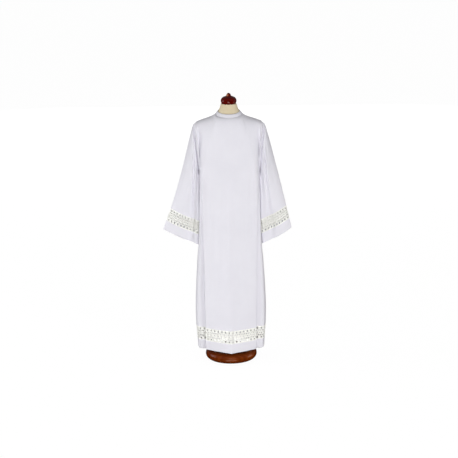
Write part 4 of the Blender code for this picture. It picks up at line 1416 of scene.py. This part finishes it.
def add_floor():
    """White paper floor, which glows to stay plain white and throws no light or shadow on the robe."""
    graph = Graph("floor_white")
    graph.shader.inputs["Base Color"].default_value = (FLOOR_TONE, FLOOR_TONE, FLOOR_TONE, 1.0)
    graph.shader.inputs["Roughness"].default_value = 0.9
    graph.shader.inputs["Specular IOR Level"].default_value = 0.0
    graph.shader.inputs["Emission Color"].default_value = (1.0, 1.0, 1.0, 1.0)
    graph.shader.inputs["Emission Strength"].default_value = FLOOR_GLOW
    mesh = bpy.data.meshes.new("floor")
    corners = ((-1, -1), (1, -1), (1, 1), (-1, 1))
    points = [(x * FLOOR_HALF, y * FLOOR_HALF, FLOOR_HEIGHT) for x, y in corners]
    mesh.from_pydata(points, [], [(0, 1, 2, 3)])
    mesh.materials.append(graph.material)
    floor = bpy.data.objects.new("floor", mesh)
    floor.visible_diffuse = False
    floor.visible_glossy = False
    floor.visible_shadow = False
    bpy.context.scene.collection.objects.link(floor)


def add_sky():
    """Even studio light, brighter from above than from below."""
    world = bpy.data.worlds.new("studio")
    world.use_nodes = True
    tree = world.node_tree
    place = tree.nodes.new("ShaderNodeTexCoord")
    parts = tree.nodes.new("ShaderNodeSeparateXYZ")
    level = tree.nodes.new("ShaderNodeMapRange")
    tree.links.new(place.outputs["Generated"], parts.inputs[0])
    tree.links.new(parts.outputs[2], level.inputs["Value"])
    (level.inputs["From Min"].default_value, level.inputs["To Min"].default_value) = SKY[0]
    (level.inputs["From Max"].default_value, level.inputs["To Max"].default_value) = SKY[1]
    tree.links.new(level.outputs[0], tree.nodes["Background"].inputs["Strength"])
    tree.nodes["Background"].inputs["Color"].default_value = (1.0, 1.0, 1.0, 1.0)
    bpy.context.scene.world = world


def add_studio():
    add_sky()
    for name, facts in SOFTBOXES.items():
        add_softbox(name, *facts)
    add_floor()


def add_camera():
    lens = bpy.data.cameras.new("camera")
    lens.sensor_width = SENSOR
    lens.lens = SENSOR * CAMERA["distance"] / CAMERA["field"]
    lens.clip_end = 200.0
    camera = bpy.data.objects.new("camera", lens)
    tilt = math.radians(CAMERA["elevation"])
    away = Vector((0.0, -math.cos(tilt), math.sin(tilt))) * CAMERA["distance"]
    camera.location = Vector(CAMERA["aim"]) + away
    turn = Euler((math.pi / 2 - tilt, 0.0, 0.0)).to_matrix()
    roll = Euler((0.0, 0.0, math.radians(CAMERA["roll"]))).to_matrix()
    camera.rotation_euler = (turn @ roll).to_euler()
    bpy.context.scene.collection.objects.link(camera)
    bpy.context.scene.camera = camera


def main():
    add_robe()
    add_dress_form()
    add_studio()
    add_camera()
    bpy.context.scene.view_settings.view_transform = "Standard"


main()
